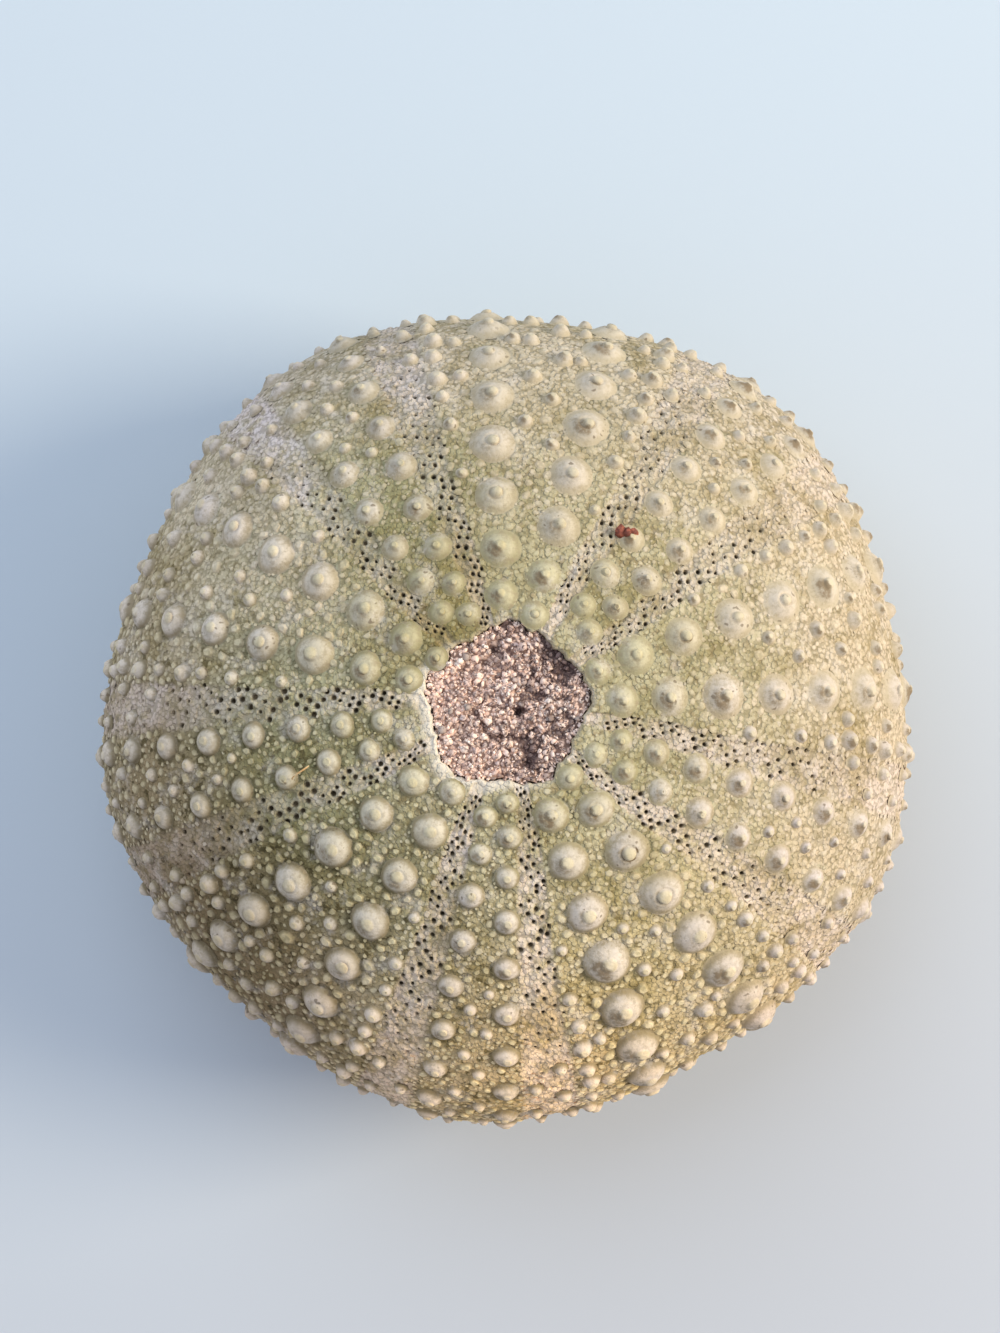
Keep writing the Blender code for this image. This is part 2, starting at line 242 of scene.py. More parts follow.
def scatter(ray, side, plate, which):
    """A fixed number between -1 and 1 for each plate: what follows the point in a large sine."""
    value = np.sin(12.99 * ray + 78.23 * side + 37.72 * plate + 4.58 * which) * SCATTER_SIZE
    return 2 * (value - np.floor(value)) - 1


def edge_fade(reach, fade):
    """1 at the edge of either hole, falling off between them."""
    return np.exp(-(reach - APICAL_RADIUS) / fade) + np.exp(-(MOUTH_REACH - reach) / fade)


def plate_reaches(column, first):
    """Reaches of a column's tubercles: whole plates past the first, the count being the sum of 1/step."""
    reach = np.linspace(APICAL_RADIUS / 2, MOUTH_REACH, MERIDIAN_POINTS)
    step = np.maximum(column.step - column.shortfall * edge_fade(reach, column.fade), column.step / 4)
    count = np.concatenate(([0.0], np.cumsum(np.diff(reach) / step[1:])))
    count -= np.interp(column.start, reach, count)
    last = float(np.interp(MOUTH_REACH - LAST_CLEAR, reach, count))
    return np.interp(np.arange(first, last), count, reach)


def column_tubercles(column, ray, side, middle, first, size):
    """One column's tubercles, a little off in place and size."""
    reach = plate_reaches(column, first)
    plate = np.arange(len(reach))
    radius = column.tubercle - column.small * edge_fade(reach, column.small_fade)
    near, far = size
    radius = radius * (near + (far - near) * smooth(reach, 10 * MM, 26 * MM))
    radius = radius * (1 + SIZE_SPREAD * scatter(ray, side, plate, 0))
    wander = arc_degrees(PLACE_SPREAD * scatter(ray, side, plate, 1), reach)
    azimuth = middle + side * column.azimuth + wander
    return Tubercles(azimuth, reach, radius, radius * column.rise, np.full(len(reach), ray))


def layout(column, first_azimuth, firsts, sizes):
    """Each ray's two columns of tubercles, as (side, tubercles)."""
    rays = []
    for ray in range(RAYS):
        middle = first_azimuth + RAY_ANGLE * ray
        own = []
        for side, first in zip((-1, 1), firsts[ray]):
            own.append((side, column_tubercles(column, ray, side, middle, first, sizes[ray])))
        rays.append(own)
    return rays


AMBULACRAL_COLUMNS = layout(AMBULACRAL, AMBULACRUM_AZIMUTH, AMBULACRAL_FIRST, ((1.0, 1.0),) * RAYS)
INTERAMBULACRAL_COLUMNS = layout(
    INTERAMBULACRAL, INTERAMBULACRUM_AZIMUTH, INTERAMBULACRAL_FIRST, RAY_SIZES
)


def joined(groups):
    """Several groups of tubercles as one."""
    return Tubercles(*[np.concatenate(values) for values in zip(*groups)])


def picked(found, keep):
    """The tubercles at these places in their arrays."""
    return Tubercles(*[values[keep] for values in found])


def of_ray(columns, ray):
    """The tubercles of one ray's two columns."""
    return joined([found for _, found in columns[ray]])


def own_number(found, side, which):
    """A fixed number between -1 and 1 for each tubercle."""
    return scatter(found.ray, side, np.arange(len(found.ray)), which)


def rim_plain(azimuth):
    """Reach of the apical hole's edge, before the first tubercles push it in."""
    ray_turn = np.radians(RAYS * (azimuth - INTERAMBULACRUM_AZIMUTH))
    return APICAL_RADIUS * (1 + APICAL_WAVE * np.cos(ray_turn))


def rim_reach(azimuth):
    """Reach of the apical hole's edge: scalloped by Gaussian dents, and chipped by three sines."""
    azimuth = np.asarray(azimuth, float)
    pushed = np.zeros_like(azimuth)
    for _, found in sum(AMBULACRAL_COLUMNS + INTERAMBULACRAL_COLUMNS, []):
        centre, clear = found.azimuth[0], found.reach[0] - SCALLOP_CLEAR * found.radius[0]
        depth = max(float(rim_plain(centre) - clear), 0.0)
        away = (azimuth - centre + 180) % 360 - 180
        pushed = np.maximum(pushed, depth * bell(away, 0, SCALLOP_WIDTH))
    turn = np.radians(azimuth)
    chips = np.sin(17 * turn + 0.6) + 0.7 * np.sin(31 * turn + 2.0) + 0.5 * np.sin(53 * turn)
    return rim_plain(azimuth) - pushed + RIM_CHIPS * chips - RIM_SHIFT * np.cos(turn)


# ---------------------------------------------------------------- meshes


def make_piece(name, points, quads, tris, attributes=None, sharp=math.radians(80), flat=False):
    """A mesh object from arrays of points, quads and triangles, with float attributes on its points."""
    data = bpy.data.meshes.new(name)
    corners = np.concatenate((np.asarray(quads, np.int32).ravel(), np.asarray(tris, np.int32).ravel()))
    totals = np.concatenate((np.full(len(quads), 4), np.full(len(tris), 3))).astype(np.int32)
    data.vertices.add(len(points))
    data.vertices.foreach_set("co", np.asarray(points, np.float32).ravel())
    data.loops.add(len(corners))
    data.loops.foreach_set("vertex_index", corners)
    data.polygons.add(len(totals))
    data.polygons.foreach_set("loop_start", np.concatenate(([0], np.cumsum(totals)[:-1])).astype(np.int32))
    data.polygons.foreach_set("loop_total", totals)
    data.update(calc_edges=True)
    for key, values in (attributes or {}).items():
        layer = data.attributes.new(key, "FLOAT", "POINT")
        layer.data.foreach_set("value", np.asarray(values, np.float32).ravel())
    if not flat:
        data.shade_smooth()
        data.set_sharp_from_angle(angle=sharp)
    piece = bpy.data.objects.new(name, data)
    bpy.context.scene.collection.objects.link(piece)
    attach(piece, "root")
    return piece


def dress(piece, material, node):
    """Gives a piece its material, and hides the imported part of the node it stands for."""
    piece.data.materials.append(material)
    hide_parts(node)
    return piece


def grid_quads(rows, columns, close_rows=False, close_columns=False):
    """Quads of a grid of points, wound so that rows x columns points outwards."""
    r = np.arange(rows if close_rows else rows - 1)[:, None]
    c = np.arange(columns if close_columns else columns - 1)[None, :]
    after_r, after_c = (r + 1) % rows, (c + 1) % columns
    quads = np.stack(
        np.broadcast_arrays(
            r * columns + c, after_r * columns + c, after_r * columns + after_c, r * columns + after_c
        ),
        axis=-1,
    )
    return quads.reshape(-1, 4)


def end_fans(rings, sides, first, last):
    """Triangles that close a stack of rings: its first ring to one point, its last ring to another."""
    side = np.arange(sides)
    after = (side + 1) % sides
    start = (rings - 1) * sides
    near = np.stack((side, after, np.full(sides, first)), axis=-1)
    far = np.stack((start + after, start + side, np.full(sides, last)), axis=-1)
    return np.concatenate((near, far))


def zip_chains(fine, coarse):
    """Triangles between a chain of many points and one of few: each fine edge meets the coarse point
    its share of the way along, and each coarse edge the fine point where that changes."""
    n, m = len(fine) - 1, len(coarse) - 1
    i, k = np.arange(n), np.arange(m)
    meets = fine[np.ceil((k + 1) * n / m).astype(int)]
    return np.concatenate(
        (
            np.stack((fine[:-1], fine[1:], coarse[i * m // n]), axis=-1),
            np.stack((coarse[:-1], meets, coarse[1:]), axis=-1),
        )
    )


# ---------------------------------------------------------------- the wall

UPPER_SHARE = 0.53  # share of the way down the wall that is seen from above, and is finely divided
UPPER_ROWS, LOWER_ROWS = 250, 56
LIP_ROWS = 4
INNER_EVERY = 18  # the inside has one row for this many of the outside's
PORE_COLUMNS, MIDDLE_COLUMNS = 30, 17
INTERAMBULACRAL_COLUMNS_ACROSS = 66
AREOLE_DEPTH = 0.08 * MM
SUTURE_DEPTH = 0.07 * MM
SUTURE_WIDTH = 0.13 * MM
ZIGZAG = 0.7 * MM
ZIGZAG_STEP = 3.9 * MM
PALE_RIM_AZIMUTH = 212.0  # the side on which the apical rim is palest and widest
ZONE_SUNK = 0.12 * MM
GRAIN_RELIEF = 0.06 * MM
PIT_DEPTH = 0.32 * MM
PORE_RADIUS = 0.165 * MM
PORE_SIZES = (0.74, 0.78, 0.94, 0.86, 0.76)  # of each ambulacrum
NO_PORE = 4.0  # distance from a pore, in its radii, past which it isn't counted
PAIRS = 5
LEE_AZIMUTH = 218.0  # the side of each tubercle away from the key light: its painted shadow on the wall, and painted shade with dirt on its flank
LEE_MOVED = 0.40  # how far the painted shadow on the wall lies off the tubercle's middle, as a share of its radius
FAR_OFF = 99.0  # a distance in radii that is past every pore and tubercle
BATCH = 4000  # how many points are measured at a time
PAIRS_OUT = np.array([0.0, 0.36, 0.70, 1.0, 0.90])  # how far out each pore pair of a plate lies on its arc
ARC_FROM, ARC_SPAN, PAIR_SPAN = 0.07, 0.56, 0.29  # shares of the pore zone's width


def pore_places(side, middle, found):
    """Azimuth, reach and radius of one column's pores: five pairs in an arc on each plate."""
    step = np.gradient(found.reach)[:, None]
    pair = np.arange(PAIRS)[None, :]
    plate = np.arange(len(found.reach))[:, None]
    ray = found.ray[:, None]
    number = plate * PAIRS + pair
    across = ARC_FROM + ARC_SPAN * PAIRS_OUT[None, :] + 0.05 * scatter(ray, side, number, 2)
    reach = found.reach[:, None] + (pair - 2) / PAIRS * step
    reach = reach + 0.10 * MM * scatter(ray, side, number, 3)
    spread = ambulacral_half(reach) / PORES_TO
    width = arc((PORES_TO - PORES_FROM) * spread, reach)
    lean = 0.06 * width
    inner = (PORES_FROM + (PORES_TO - PORES_FROM) * across) * spread
    outer = inner + (PORES_TO - PORES_FROM) * PAIR_SPAN * spread
    size = PORE_RADIUS * (0.66 + 0.34 * smooth(width, 0.8 * MM, 2.2 * MM))
    size = size * (1 - 0.30 * smooth(reach, 16 * MM, 32 * MM)) * np.take(PORE_SIZES, found.ray)[:, None]
    size = size * (1 + 0.26 * scatter(ray, side, number, 4))
    azimuth = middle + side * np.concatenate((inner.ravel(), outer.ravel()))
    reach = np.concatenate(((reach + lean).ravel(), (reach - lean).ravel()))
    return azimuth, reach, np.concatenate((size.ravel(), size.ravel()))


def nearest(azimuth, reach, centres, centre_reaches, radii):
    """For each point, the least distance to a centre, counted in that centre's radius."""
    shape = azimuth.shape
    azimuth, reach = azimuth.ravel()[:, None], reach.ravel()[:, None]
    best = np.full(len(azimuth), FAR_OFF)
    for start in range(0, len(azimuth), BATCH):
        part = slice(start, start + BATCH)
        right = arc(azimuth[part] - centres, centre_reaches)
        best[part] = (np.hypot(right, reach[part] - centre_reaches) / radii).min(axis=1)
    return best.reshape(shape)


def lee_shadow(azimuth, reach, found):
    """Painted shadow of each tubercle on the wall: 1 within its radius of its middle, which is moved towards
    LEE_AZIMUTH.
    """
    lean = np.radians(LEE_AZIMUTH - found.azimuth)
    moved = LEE_MOVED * found.radius
    across = found.azimuth + arc_degrees(moved * np.sin(lean), found.reach)
    away = nearest(azimuth, reach, across, found.reach + moved * np.cos(lean), found.radius)
    return 1 - smooth(away, 0.78, 1.28)


def suture(azimuth, reach, middle):
    """The groove down a ray's middle: depth falls off as a Gaussian from a zigzag line."""
    across = arc(azimuth - middle, reach)
    saw = np.abs((reach / ZIGZAG_STEP) % 1 * 2 - 1) * 2 - 1
    swing = ZIGZAG * saw * smooth(reach, 8 * MM, 14 * MM)
    return bell(across, swing, SUTURE_WIDTH)


def pale_side(azimuth):
    """1 where the apical rim is palest and widest, 0 on its other side."""
    return smooth(np.cos(np.radians(azimuth - PALE_RIM_AZIMUTH)), -0.1, 0.85)


def rough(azimuth, reach):
    """Fine roughness of the whole wall: two sizes of value noise."""
    points = on_test(azimuth, reach)
    return GRAIN_RELIEF * (cloud(points, 0.5 * MM, 1) + 0.6 * cloud(points, 0.26 * MM, 2))


def ambulacral_relief(azimuth, reach, ray, middle):
    """Height and masks of an ambulacrum: a sunk pore zone with rimmed pits, and areoles between."""
    band = pore_band(azimuth - middle, reach)
    pore = np.full(azimuth.shape, FAR_OFF)
    tubercle = np.full(azimuth.shape, FAR_OFF)
    for side, found in AMBULACRAL_COLUMNS[ray]:
        here = (azimuth - middle) * side >= 0
        pore[here] = nearest(azimuth[here], reach[here], *pore_places(side, middle, found))
        tubercle[here] = nearest(azimuth[here], reach[here], found.azimuth, found.reach, found.radius)
    rim = 0.045 * MM * bell(pore, 1.9, 0.55)
    pit = -PIT_DEPTH * (1 - smooth(pore, 0.45, 1.3))
    areole = bell(tubercle, 1.15, 0.22)
    places = on_test(azimuth, reach)
    lumps = cloud(places, 0.46 * MM, 3) + 0.7 * cloud(places, 0.24 * MM, 9)
    knobs = 0.13 * MM * band * np.maximum(lumps, -0.2)
    height = (
        rough(azimuth, reach)
        - ZONE_SUNK * band
        + (rim + pit) * smooth(band, 0.0, 0.3)
        + knobs
        - 0.6 * AREOLE_DEPTH * areole * (1 - band)
        - 0.6 * SUTURE_DEPTH * suture(azimuth, reach, middle)
    )
    pore = pore * (1 + 0.16 * cloud(places, 0.2 * MM, 6)) + 0.5 * smooth(reach, 18 * MM, 34 * MM)
    masks = {"band": band, "pore": np.minimum(pore, NO_PORE), "areole": areole * (1 - band)}
    return height, {**masks, "lee_shade": lee_shadow(azimuth, reach, of_ray(AMBULACRAL_COLUMNS, ray))}


def interambulacral_relief(azimuth, reach, ray, middle):
    """Height and masks of an interambulacrum: an areole sunk round each tubercle, and a middle groove."""
    edge = arc(interambulacral_half(reach) - np.abs(azimuth - middle), reach)
    found = of_ray(INTERAMBULACRAL_COLUMNS, ray)
    tubercle = nearest(azimuth, reach, found.azimuth, found.reach, found.radius)
    areole = bell(tubercle, 1.18, 0.20) * smooth(edge, 0, 0.5 * MM)
    height = (
        rough(azimuth, reach)
        - AREOLE_DEPTH * areole
        - 0.7 * SUTURE_DEPTH * suture(azimuth, reach, middle)
    )
    # The painted shadow of each tubercle on the wall beside it
    none, tubercle_shadow = np.zeros(azimuth.shape), lee_shadow(azimuth, reach, found)
    return height, {"band": none, "pore": none + NO_PORE, "areole": areole, "lee_shade": tubercle_shadow}


def wall_rows(every):
    """The slab's rows as (share of the way to the mouth, inset from the hole's edge, height).

    They run over the apical lip, down the outside, over the mouth's lip and back up the inside.
    """
    upper = np.linspace(0, UPPER_SHARE, UPPER_ROWS, endpoint=False)
    outside = np.concatenate((upper, np.linspace(UPPER_SHARE, 1, LOWER_ROWS)))
    outside = np.unique(np.concatenate((outside[::every], [1.0])))
    bend = np.linspace(0, math.pi / 2, LIP_ROWS, endpoint=False)
    lip_in = np.concatenate(([0.0, 0.0], LIP_ROUND * (1 - np.cos(bend))))
    lip_height = np.concatenate(([-WALL, -WALL / 2], -LIP_ROUND * (1 - np.sin(bend))))
    none = np.zeros(len(lip_in))
    inside = outside[INNER_EVERY:-INNER_EVERY:INNER_EVERY][::-1]
    share = np.concatenate((none, outside, none + 1, inside))
    inset = np.concatenate((lip_in, LIP_ROUND * (1 - 2 * outside), -lip_in[::-1], inside * 0))
    height = np.concatenate((lip_height, outside * 0, lip_height[::-1], inside * 0 - WALL))
    outer_rows = 2 * len(lip_in) + len(outside)
    return share[:, None], inset[:, None], height[:, None], outer_rows


def make_slab(name, middle, shares, half, every, relief, ray):
    """A closed slab of the wall: a loop of rows carried across the ray, and its two sides zipped shut.

    A column's azimuth is its share of the ray's half angle, which changes with the reach.
    """
    share, inset, height, outer_rows = wall_rows(every)
    rim = rim_reach(middle + shares * half(APICAL_RADIUS))[None, :]
    reach = rim * (1 - share) + MOUTH_REACH * share + inset
    azimuth = middle + shares[None, :] * half(reach)
    raised, masks = relief(azimuth, reach, ray, middle)
    lip = 1 - smooth(-height, 0.0, LIP_ROUND)
    masks = {key: values if key == "pore" else values * lip for key, values in masks.items()}
    inner = np.arange(len(share))[:, None] >= outer_rows
    raised = np.where(inner, 0.0, raised * np.where(height < 0, 0.3, 1.0))
    points = on_test(azimuth, reach, height + raised)
    points[..., 2] = np.maximum(points[..., 2], 0.0)
    rows, columns = azimuth.shape
    quads = grid_quads(rows, columns, close_rows=True)
    outer = np.arange(outer_rows)
    inner_chain = np.arange(rows - 1, outer_rows - 1, -1)
    far = zip_chains(outer * columns + columns - 1, inner_chain * columns + columns - 1)
    near = zip_chains(outer * columns, inner_chain * columns)[:, ::-1]
    pale = pale_side(azimuth)
    width = (0.22 + 1.0 * pale) * MM * (1 + 0.35 * cloud(on_test(azimuth, reach), 1.1 * MM, 8))
    masks["rim"] = (1 - smooth(reach - rim, 0.20 * width, 1.15 * width)) * (0.25 + 0.75 * pale)
    return make_piece(name, points.reshape(-1, 3), quads, np.concatenate((far, near)), masks)


def make_wall(material):
    """Five ambulacra, finely divided for their pores, and five interambulacra."""
    zone = np.linspace(PORES_FROM, PORES_TO, PORE_COLUMNS)
    middle_part = np.linspace(-PORES_FROM, PORES_FROM, MIDDLE_COLUMNS)[1:-1]
    fine = np.concatenate((-zone[::-1], middle_part, zone)) / PORES_TO
    coarse = np.linspace(-1, 1, INTERAMBULACRAL_COLUMNS_ACROSS)
    kinds = (
        ("ambulacrum", AMBULACRUM_AZIMUTH, fine, ambulacral_half, 1, ambulacral_relief),
        ("interambulacrum", INTERAMBULACRUM_AZIMUTH, coarse, interambulacral_half, 2, interambulacral_relief),
    )
    for ray in range(RAYS):
        for name, first, shares, half, every, relief in kinds:
            middle = first + RAY_ANGLE * ray
            slab = make_slab(f"{name}_{ray + 1}", middle, shares, half, every, relief, ray)
            dress(slab, material, "test")


# ---------------------------------------------------------------- tubercles and beads

# Profiles from foot to tip: shares of the boss's radius across and of its height up
DOME = np.array(
    [(1.16, -0.20), (1.05, 0.02), (0.99, 0.14), (0.92, 0.28), (0.83, 0.42), (0.72, 0.55), (0.61, 0.655)]
    + [(0.53, 0.72), (0.46, 0.768), (0.40, 0.795), (0.36, 0.838), (0.31, 0.895), (0.23, 0.955), (0.11, 0.99)]
)
CONE = np.array(
    [(1.32, -0.16), (1.17, 0.02), (1.05, 0.10), (0.95, 0.20), (0.85, 0.32), (0.74, 0.44), (0.62, 0.55)]
    + [(0.52, 0.635), (0.44, 0.675), (0.37, 0.69), (0.325, 0.765), (0.28, 0.865), (0.20, 0.945)]
    + [(0.10, 0.985)]
)
LESSER_RINGS = [0, 1, 3, 5, 6, 8, 9, 11, 12]  # the rings of those that the smaller tubercles keep
SMALL_KNOB = np.array([(1.20, -0.20), (1.00, 0.08), (0.82, 0.42), (0.58, 0.74), (0.31, 0.94)])
BEAD = np.array([(1.18, -0.22), (0.96, 0.18), (0.60, 0.74)])
SMALL_BEAD = np.array([(1.18, -0.22), (0.78, 0.50)])
BOSS_WOBBLE, KNOB_WOBBLE, BEAD_WOBBLE = 0.022, 0.03, 0.16  # how uneven each kind is round its middle
TIP_ASIDE = 0.13  # how far a knob stands off its boss's middle, as a share of the radius
DRAWN_OUT = 0.02  # share of the radius by which a boss is longer one way and shorter the other
CRACK_RINGS = [8, 9]  # the rings of a profile that a crack runs over
NECK_CUT = 0.13  # how much deeper the neck under the knob is on the boldest, as a share of the height
NECK_RADIUS, NECK_WIDTH = 0.41, 0.06  # where that lies, and how wide it is, as shares of the radius
GROOVE_RADIUS, GROOVE_WIDTH = 0.42, 0.07  # and the darkening in it, dirt and painted shade
BEAD_RISE = 0.60
ROSY_AZIMUTH = 300.0  # the side whose tubercles are pinkest
SANDY_AZIMUTH = 48.0  # and the side where all is one sandy colour
BOLD_AZIMUTH = 235.0  # the side of the test, away from the key light, on which the beads stand out most, and whose hollows and feet are painted darker as shade
PORE_ZONE_BARE = 0.95  # share of the beads that the pore zones go without
WORN = 0.42  # height of the beads on the other side, as a share
BEAD_NEAR = 0.70  # size of the beads by the apical hole, as a share of the others'
BEAD_WORN = 0.78  # and on the worn side
COARSE_BEAD = 0.27 * MM  # beads with a larger radius have a fuller profile
UPPER_REACH = 25 * MM  # the reach that parts the fine beads into upper and lower ones
BEAD_LEAST = 1.16  # how near two beads stand, as a share of their radii together
SECONDARY_LEAST = 0.98  # and two secondary tubercles
EDGE_CLEAR = 0.10 * MM  # from a bead to the edge of either hole
UNDER_REACH = 46 * MM  # past this reach, on the underside, beads are no smaller than the least
UNDER_LEAST = 0.30 * MM
CRACK_FACES = -45.0  # azimuth that the cracks face
CRACKED = 0.09  # share of the large tubercles with a crack round the knob


def boldness(found, low, high):
    """How far each tubercle lies towards BOLD_AZIMUTH: 0 below low, 1 above high."""
    places = on_test(found.azimuth, found.reach)
    bold = math.radians(BOLD_AZIMUTH)
    return smooth(places[:, 0] * math.cos(bold) + places[:, 1] * math.sin(bold), low, high)


def stand_on_test(unit, found, turn, wobble):
    """Turns each tubercle's profile round its middle: rings of points across the wall's tangent plane.

    A ring's radius wanders by two sines, it is drawn out a little one way, and the knob stands aside.
    """
    around, down, outward = axes_on_test(found.azimuth, found.reach)
    centre = on_test(found.azimuth, found.reach)
    phase = own_number(found, 3, 5) * math.pi
    angle = turn[None, :] + phase[:, None]
    wander = 1 + wobble * (np.sin(2 * angle) + 0.6 * np.sin(3 * angle + 1.7 * phase[:, None]))
    radius, height = found.radius[:, None, None], found.height[:, None, None]
    across = unit[..., :1] * radius * wander[:, None, :]
    up = unit[..., 1:] * height * np.ones(len(turn))
    aside = TIP_ASIDE * radius * smooth(unit[..., 1:], 0.55, 0.95)
    x = across * np.cos(turn) * (1 + DRAWN_OUT) + aside * own_number(found, 4, 7)[:, None, None]
    y = across * np.sin(turn) * (1 - DRAWN_OUT) + aside * own_number(found, 9, 4)[:, None, None]
    moves = ((x, around), (y, down), (up, outward))
    points = centre[:, None, None, :] + sum(far[..., None] * axis[:, None, None, :] for far, axis in moves)
    tip = points[:, -1].mean(axis=1) + 0.01 * found.height[:, None] * outward
    return points, tip


def own_profiles(unit, worn_unit, found):
    """Each tubercle's profile between the two, by its place on the test, its neck cut by its own number."""
    if worn_unit is None:
        return np.tile(unit, (len(found.ray), 1, 1))
    part = (1 - boldness(found, -6 * MM, 10 * MM))[:, None, None]
    own = unit + part * (worn_unit - unit)
    cut = NECK_CUT * own_number(found, 3, 6) ** 2
    own[..., 1] -= cut[:, None] * bell(unit[:, 0], NECK_RADIUS, NECK_WIDTH)
    return own


def lean_towards(found, turn, azimuth):
    """1 on the side of each tubercle that faces this azimuth, to -1 on the other: a cosine."""
    return np.cos(turn[None, :] - np.radians(found.azimuth + 90 - azimuth)[:, None])


def knob_masks(unit, found, turn, tint, cracked, grooved):
    """What the materials read on each tubercle's points, all from 0 to 1."""
    number = len(unit) * len(turn) + 2

    def all_over(values):
        """One number for each tubercle."""
        return np.repeat(values[:, None], number, axis=1)

    def on_rings(along, round_it):
        """A share for each ring times one for each side, and nothing at the tip and the foot's middle."""
        values = (along[None, :, None] * round_it[:, None, :]).reshape(len(round_it), -1)
        return np.pad(values, ((0, 0), (0, 2)))

    rise = np.clip(np.concatenate((np.repeat(unit[:, 1], len(turn)), [1.0, 0.0])), 0, 1)
    lean = lean_towards(found, turn, LEE_AZIMUTH)
    sunny = smooth(on_test(found.azimuth, found.reach)[:, 0], -16 * MM, 10 * MM)
    # How strongly each tubercle's flank away from the key light takes painted shade and dirt, more towards +X
    lee_strength = (0.62 + 0.38 * own_number(found, 5, 8)) * (0.62 + 0.38 * sunny)
    flank = 0.35 * smooth(unit[:, 1], 0.0, 0.3) + 0.65 * smooth(unit[:, 1], 0.40, 0.66)
    flank = flank * (1 - smooth(unit[:, 1], 0.94, 1.0))
    # Darkening in the groove under the knob, dirt and painted shade, strongest towards LEE_AZIMUTH
    groove = bell(unit[:, 0], GROOVE_RADIUS, GROOVE_WIDTH) * grooved
    worn = 0.55 + 0.45 * own_number(found, 6, 3)
    split = (own_number(found, 7, 6) > 1 - 2 * cracked)[:, None]
    crack_rings = np.isin(np.arange(len(unit)), CRACK_RINGS)
    off = (found.azimuth - AMBULACRUM_AZIMUTH + RAY_ANGLE / 2) % RAY_ANGLE - RAY_ANGLE / 2
    return {
        "groove": on_rings(groove, (0.05 + 0.95 * smooth(lean, -0.3, 0.6)) * worn[:, None]),
        "band": all_over(pore_band(off, found.reach)),
        "rise": np.tile(rise, (len(found.ray), 1)),
        "tint": all_over(tint),
        "own": all_over(0.5 + 0.5 * own_number(found, 8, 2)),
        "crack": on_rings(crack_rings, split * smooth(lean_towards(found, turn, CRACK_FACES), -0.6, 0.5)),
        "lee_shade": on_rings(flank, lee_strength[:, None] * smooth(lean, -0.25, 0.85)),
    }


def make_knobs(name, unit, sides, found, material, wobble, worn_unit=None, cracked=0.0):
    """Joined tubercles, each a stack of rings closed by a tip above and a fan below.

    Where a worn profile is given too, each tubercle's own lies between the two.
    """
    turn = np.linspace(0, 2 * math.pi, sides, endpoint=False)[::-1]
    points, tip = stand_on_test(own_profiles(unit, worn_unit, found), found, turn, wobble)
    count, rings = len(found.azimuth), len(unit)
    foot = points[:, 0].mean(axis=1)
    everything = np.concatenate((points.reshape(count, -1, 3), tip[:, None], foot[:, None]), axis=1)
    everything = np.clip(everything, np.array(CAD_BOX[0]) + BOX_CLEAR, np.array(CAD_BOX[1]) - BOX_CLEAR)
    tip_point = rings * sides
    start = (np.arange(count) * (tip_point + 2))[:, None, None]
    quads = grid_quads(rings, sides, close_columns=True)[None, :, ::-1] + start
    tris = end_fans(rings, sides, tip_point + 1, tip_point)[None] + start
    masks = knob_masks(unit, found, turn, apex_tint(found), cracked, worn_unit is not None)
    piece = make_piece(name, everything.reshape(-1, 3), quads.reshape(-1, 4), tris.reshape(-1, 3), masks)
    return dress(piece, material, "test")


def keep_apart(places, radii, least):
    """Which places to keep, in turn, so that no two are nearer than least times their radii together."""
    tree = KDTree(len(places))
    for number, place in enumerate(places):
        tree.insert(place, number)
    tree.balance()
    keep = np.ones(len(places), bool)
    widest = radii.max()
    for one, (place, radius) in enumerate(zip(places, radii)):
        if keep[one]:
            for _, other, distance in tree.find_range(place, least * (radius + widest)):
                if other > one and distance < least * (radius + radii[other]):
                    keep[other] = False
    return keep


def spread_out(found, fixed, least):
    """Keeps the beads that clear the fixed tubercles and, in turn, every bead already kept."""
    places = on_test(found.azimuth, found.reach)
    apart = np.linalg.norm(places[:, None] - on_test(fixed.azimuth, fixed.reach)[None], axis=-1)
    clear = (apart > fixed.radius[None] + found.radius[:, None] * 0.9).all(axis=1)
    found, places = picked(found, clear), places[clear]
    return picked(found, keep_apart(places, found.radius, least))


def bead_share(azimuth, reach):
    """Size of the beads at a place, as a share: less near the apical hole, and on the worn side."""
    turn = np.radians(azimuth - BOLD_AZIMUTH)
    bold = smooth(wall_at(reach)[0] * np.cos(turn), -10 * MM, 8 * MM)
    near = BEAD_NEAR + (1 - BEAD_NEAR) * smooth(reach, 8 * MM, 24 * MM)
    return near * (BEAD_WORN + (1 - BEAD_WORN) * bold)


def halo(found, clear, size, spacing):
    """Beads in a ring round each tubercle, clear of its foot."""
    groups = []
    for azimuth, reach, radius, ray in zip(found.azimuth, found.reach, found.radius, found.ray):
        ring = radius + clear
        number = max(int(2 * math.pi * ring / spacing), 5)
        turn = (np.arange(number) + rng.random()) * 2 * math.pi / number + rng.normal(0, 0.08, number)
        away = ring * (1 + rng.normal(0, 0.04, number))
        across = arc_degrees(away * np.cos(turn), reach)
        sizes = size * rng.uniform(0.60, 1.30, number)
        sizes = sizes * bead_share(azimuth, reach)
        places = azimuth + across, reach + away * np.sin(turn)
        groups.append(Tubercles(*places, sizes, sizes * BEAD_RISE, np.full(number, ray)))
    return joined(groups)


def sprinkle(number, middle, half, ray, sizes):
    """Beads at random over one ray, evenly by area, the largest first."""
    reach = rng.uniform(APICAL_RADIUS, MOUTH_REACH - 0.3 * MM, number * 3)
    reach = reach[rng.random(len(reach)) < wall_at(reach)[0] / AMBITUS_RADIUS][:number]
    number = len(reach)
    azimuth = middle + rng.uniform(-1, 1, number) * half(reach)
    radius = np.sort(sizes[0] + (sizes[1] - sizes[0]) * rng.random(number) ** 3.6)[::-1]
    radius = radius * bead_share(azimuth, reach)
    under = smooth(reach, UNDER_REACH, UNDER_REACH + 6 * MM)
    radius = np.maximum(radius, UNDER_LEAST * under)
    return Tubercles(azimuth, reach, radius, radius * BEAD_RISE, np.full(number, ray))


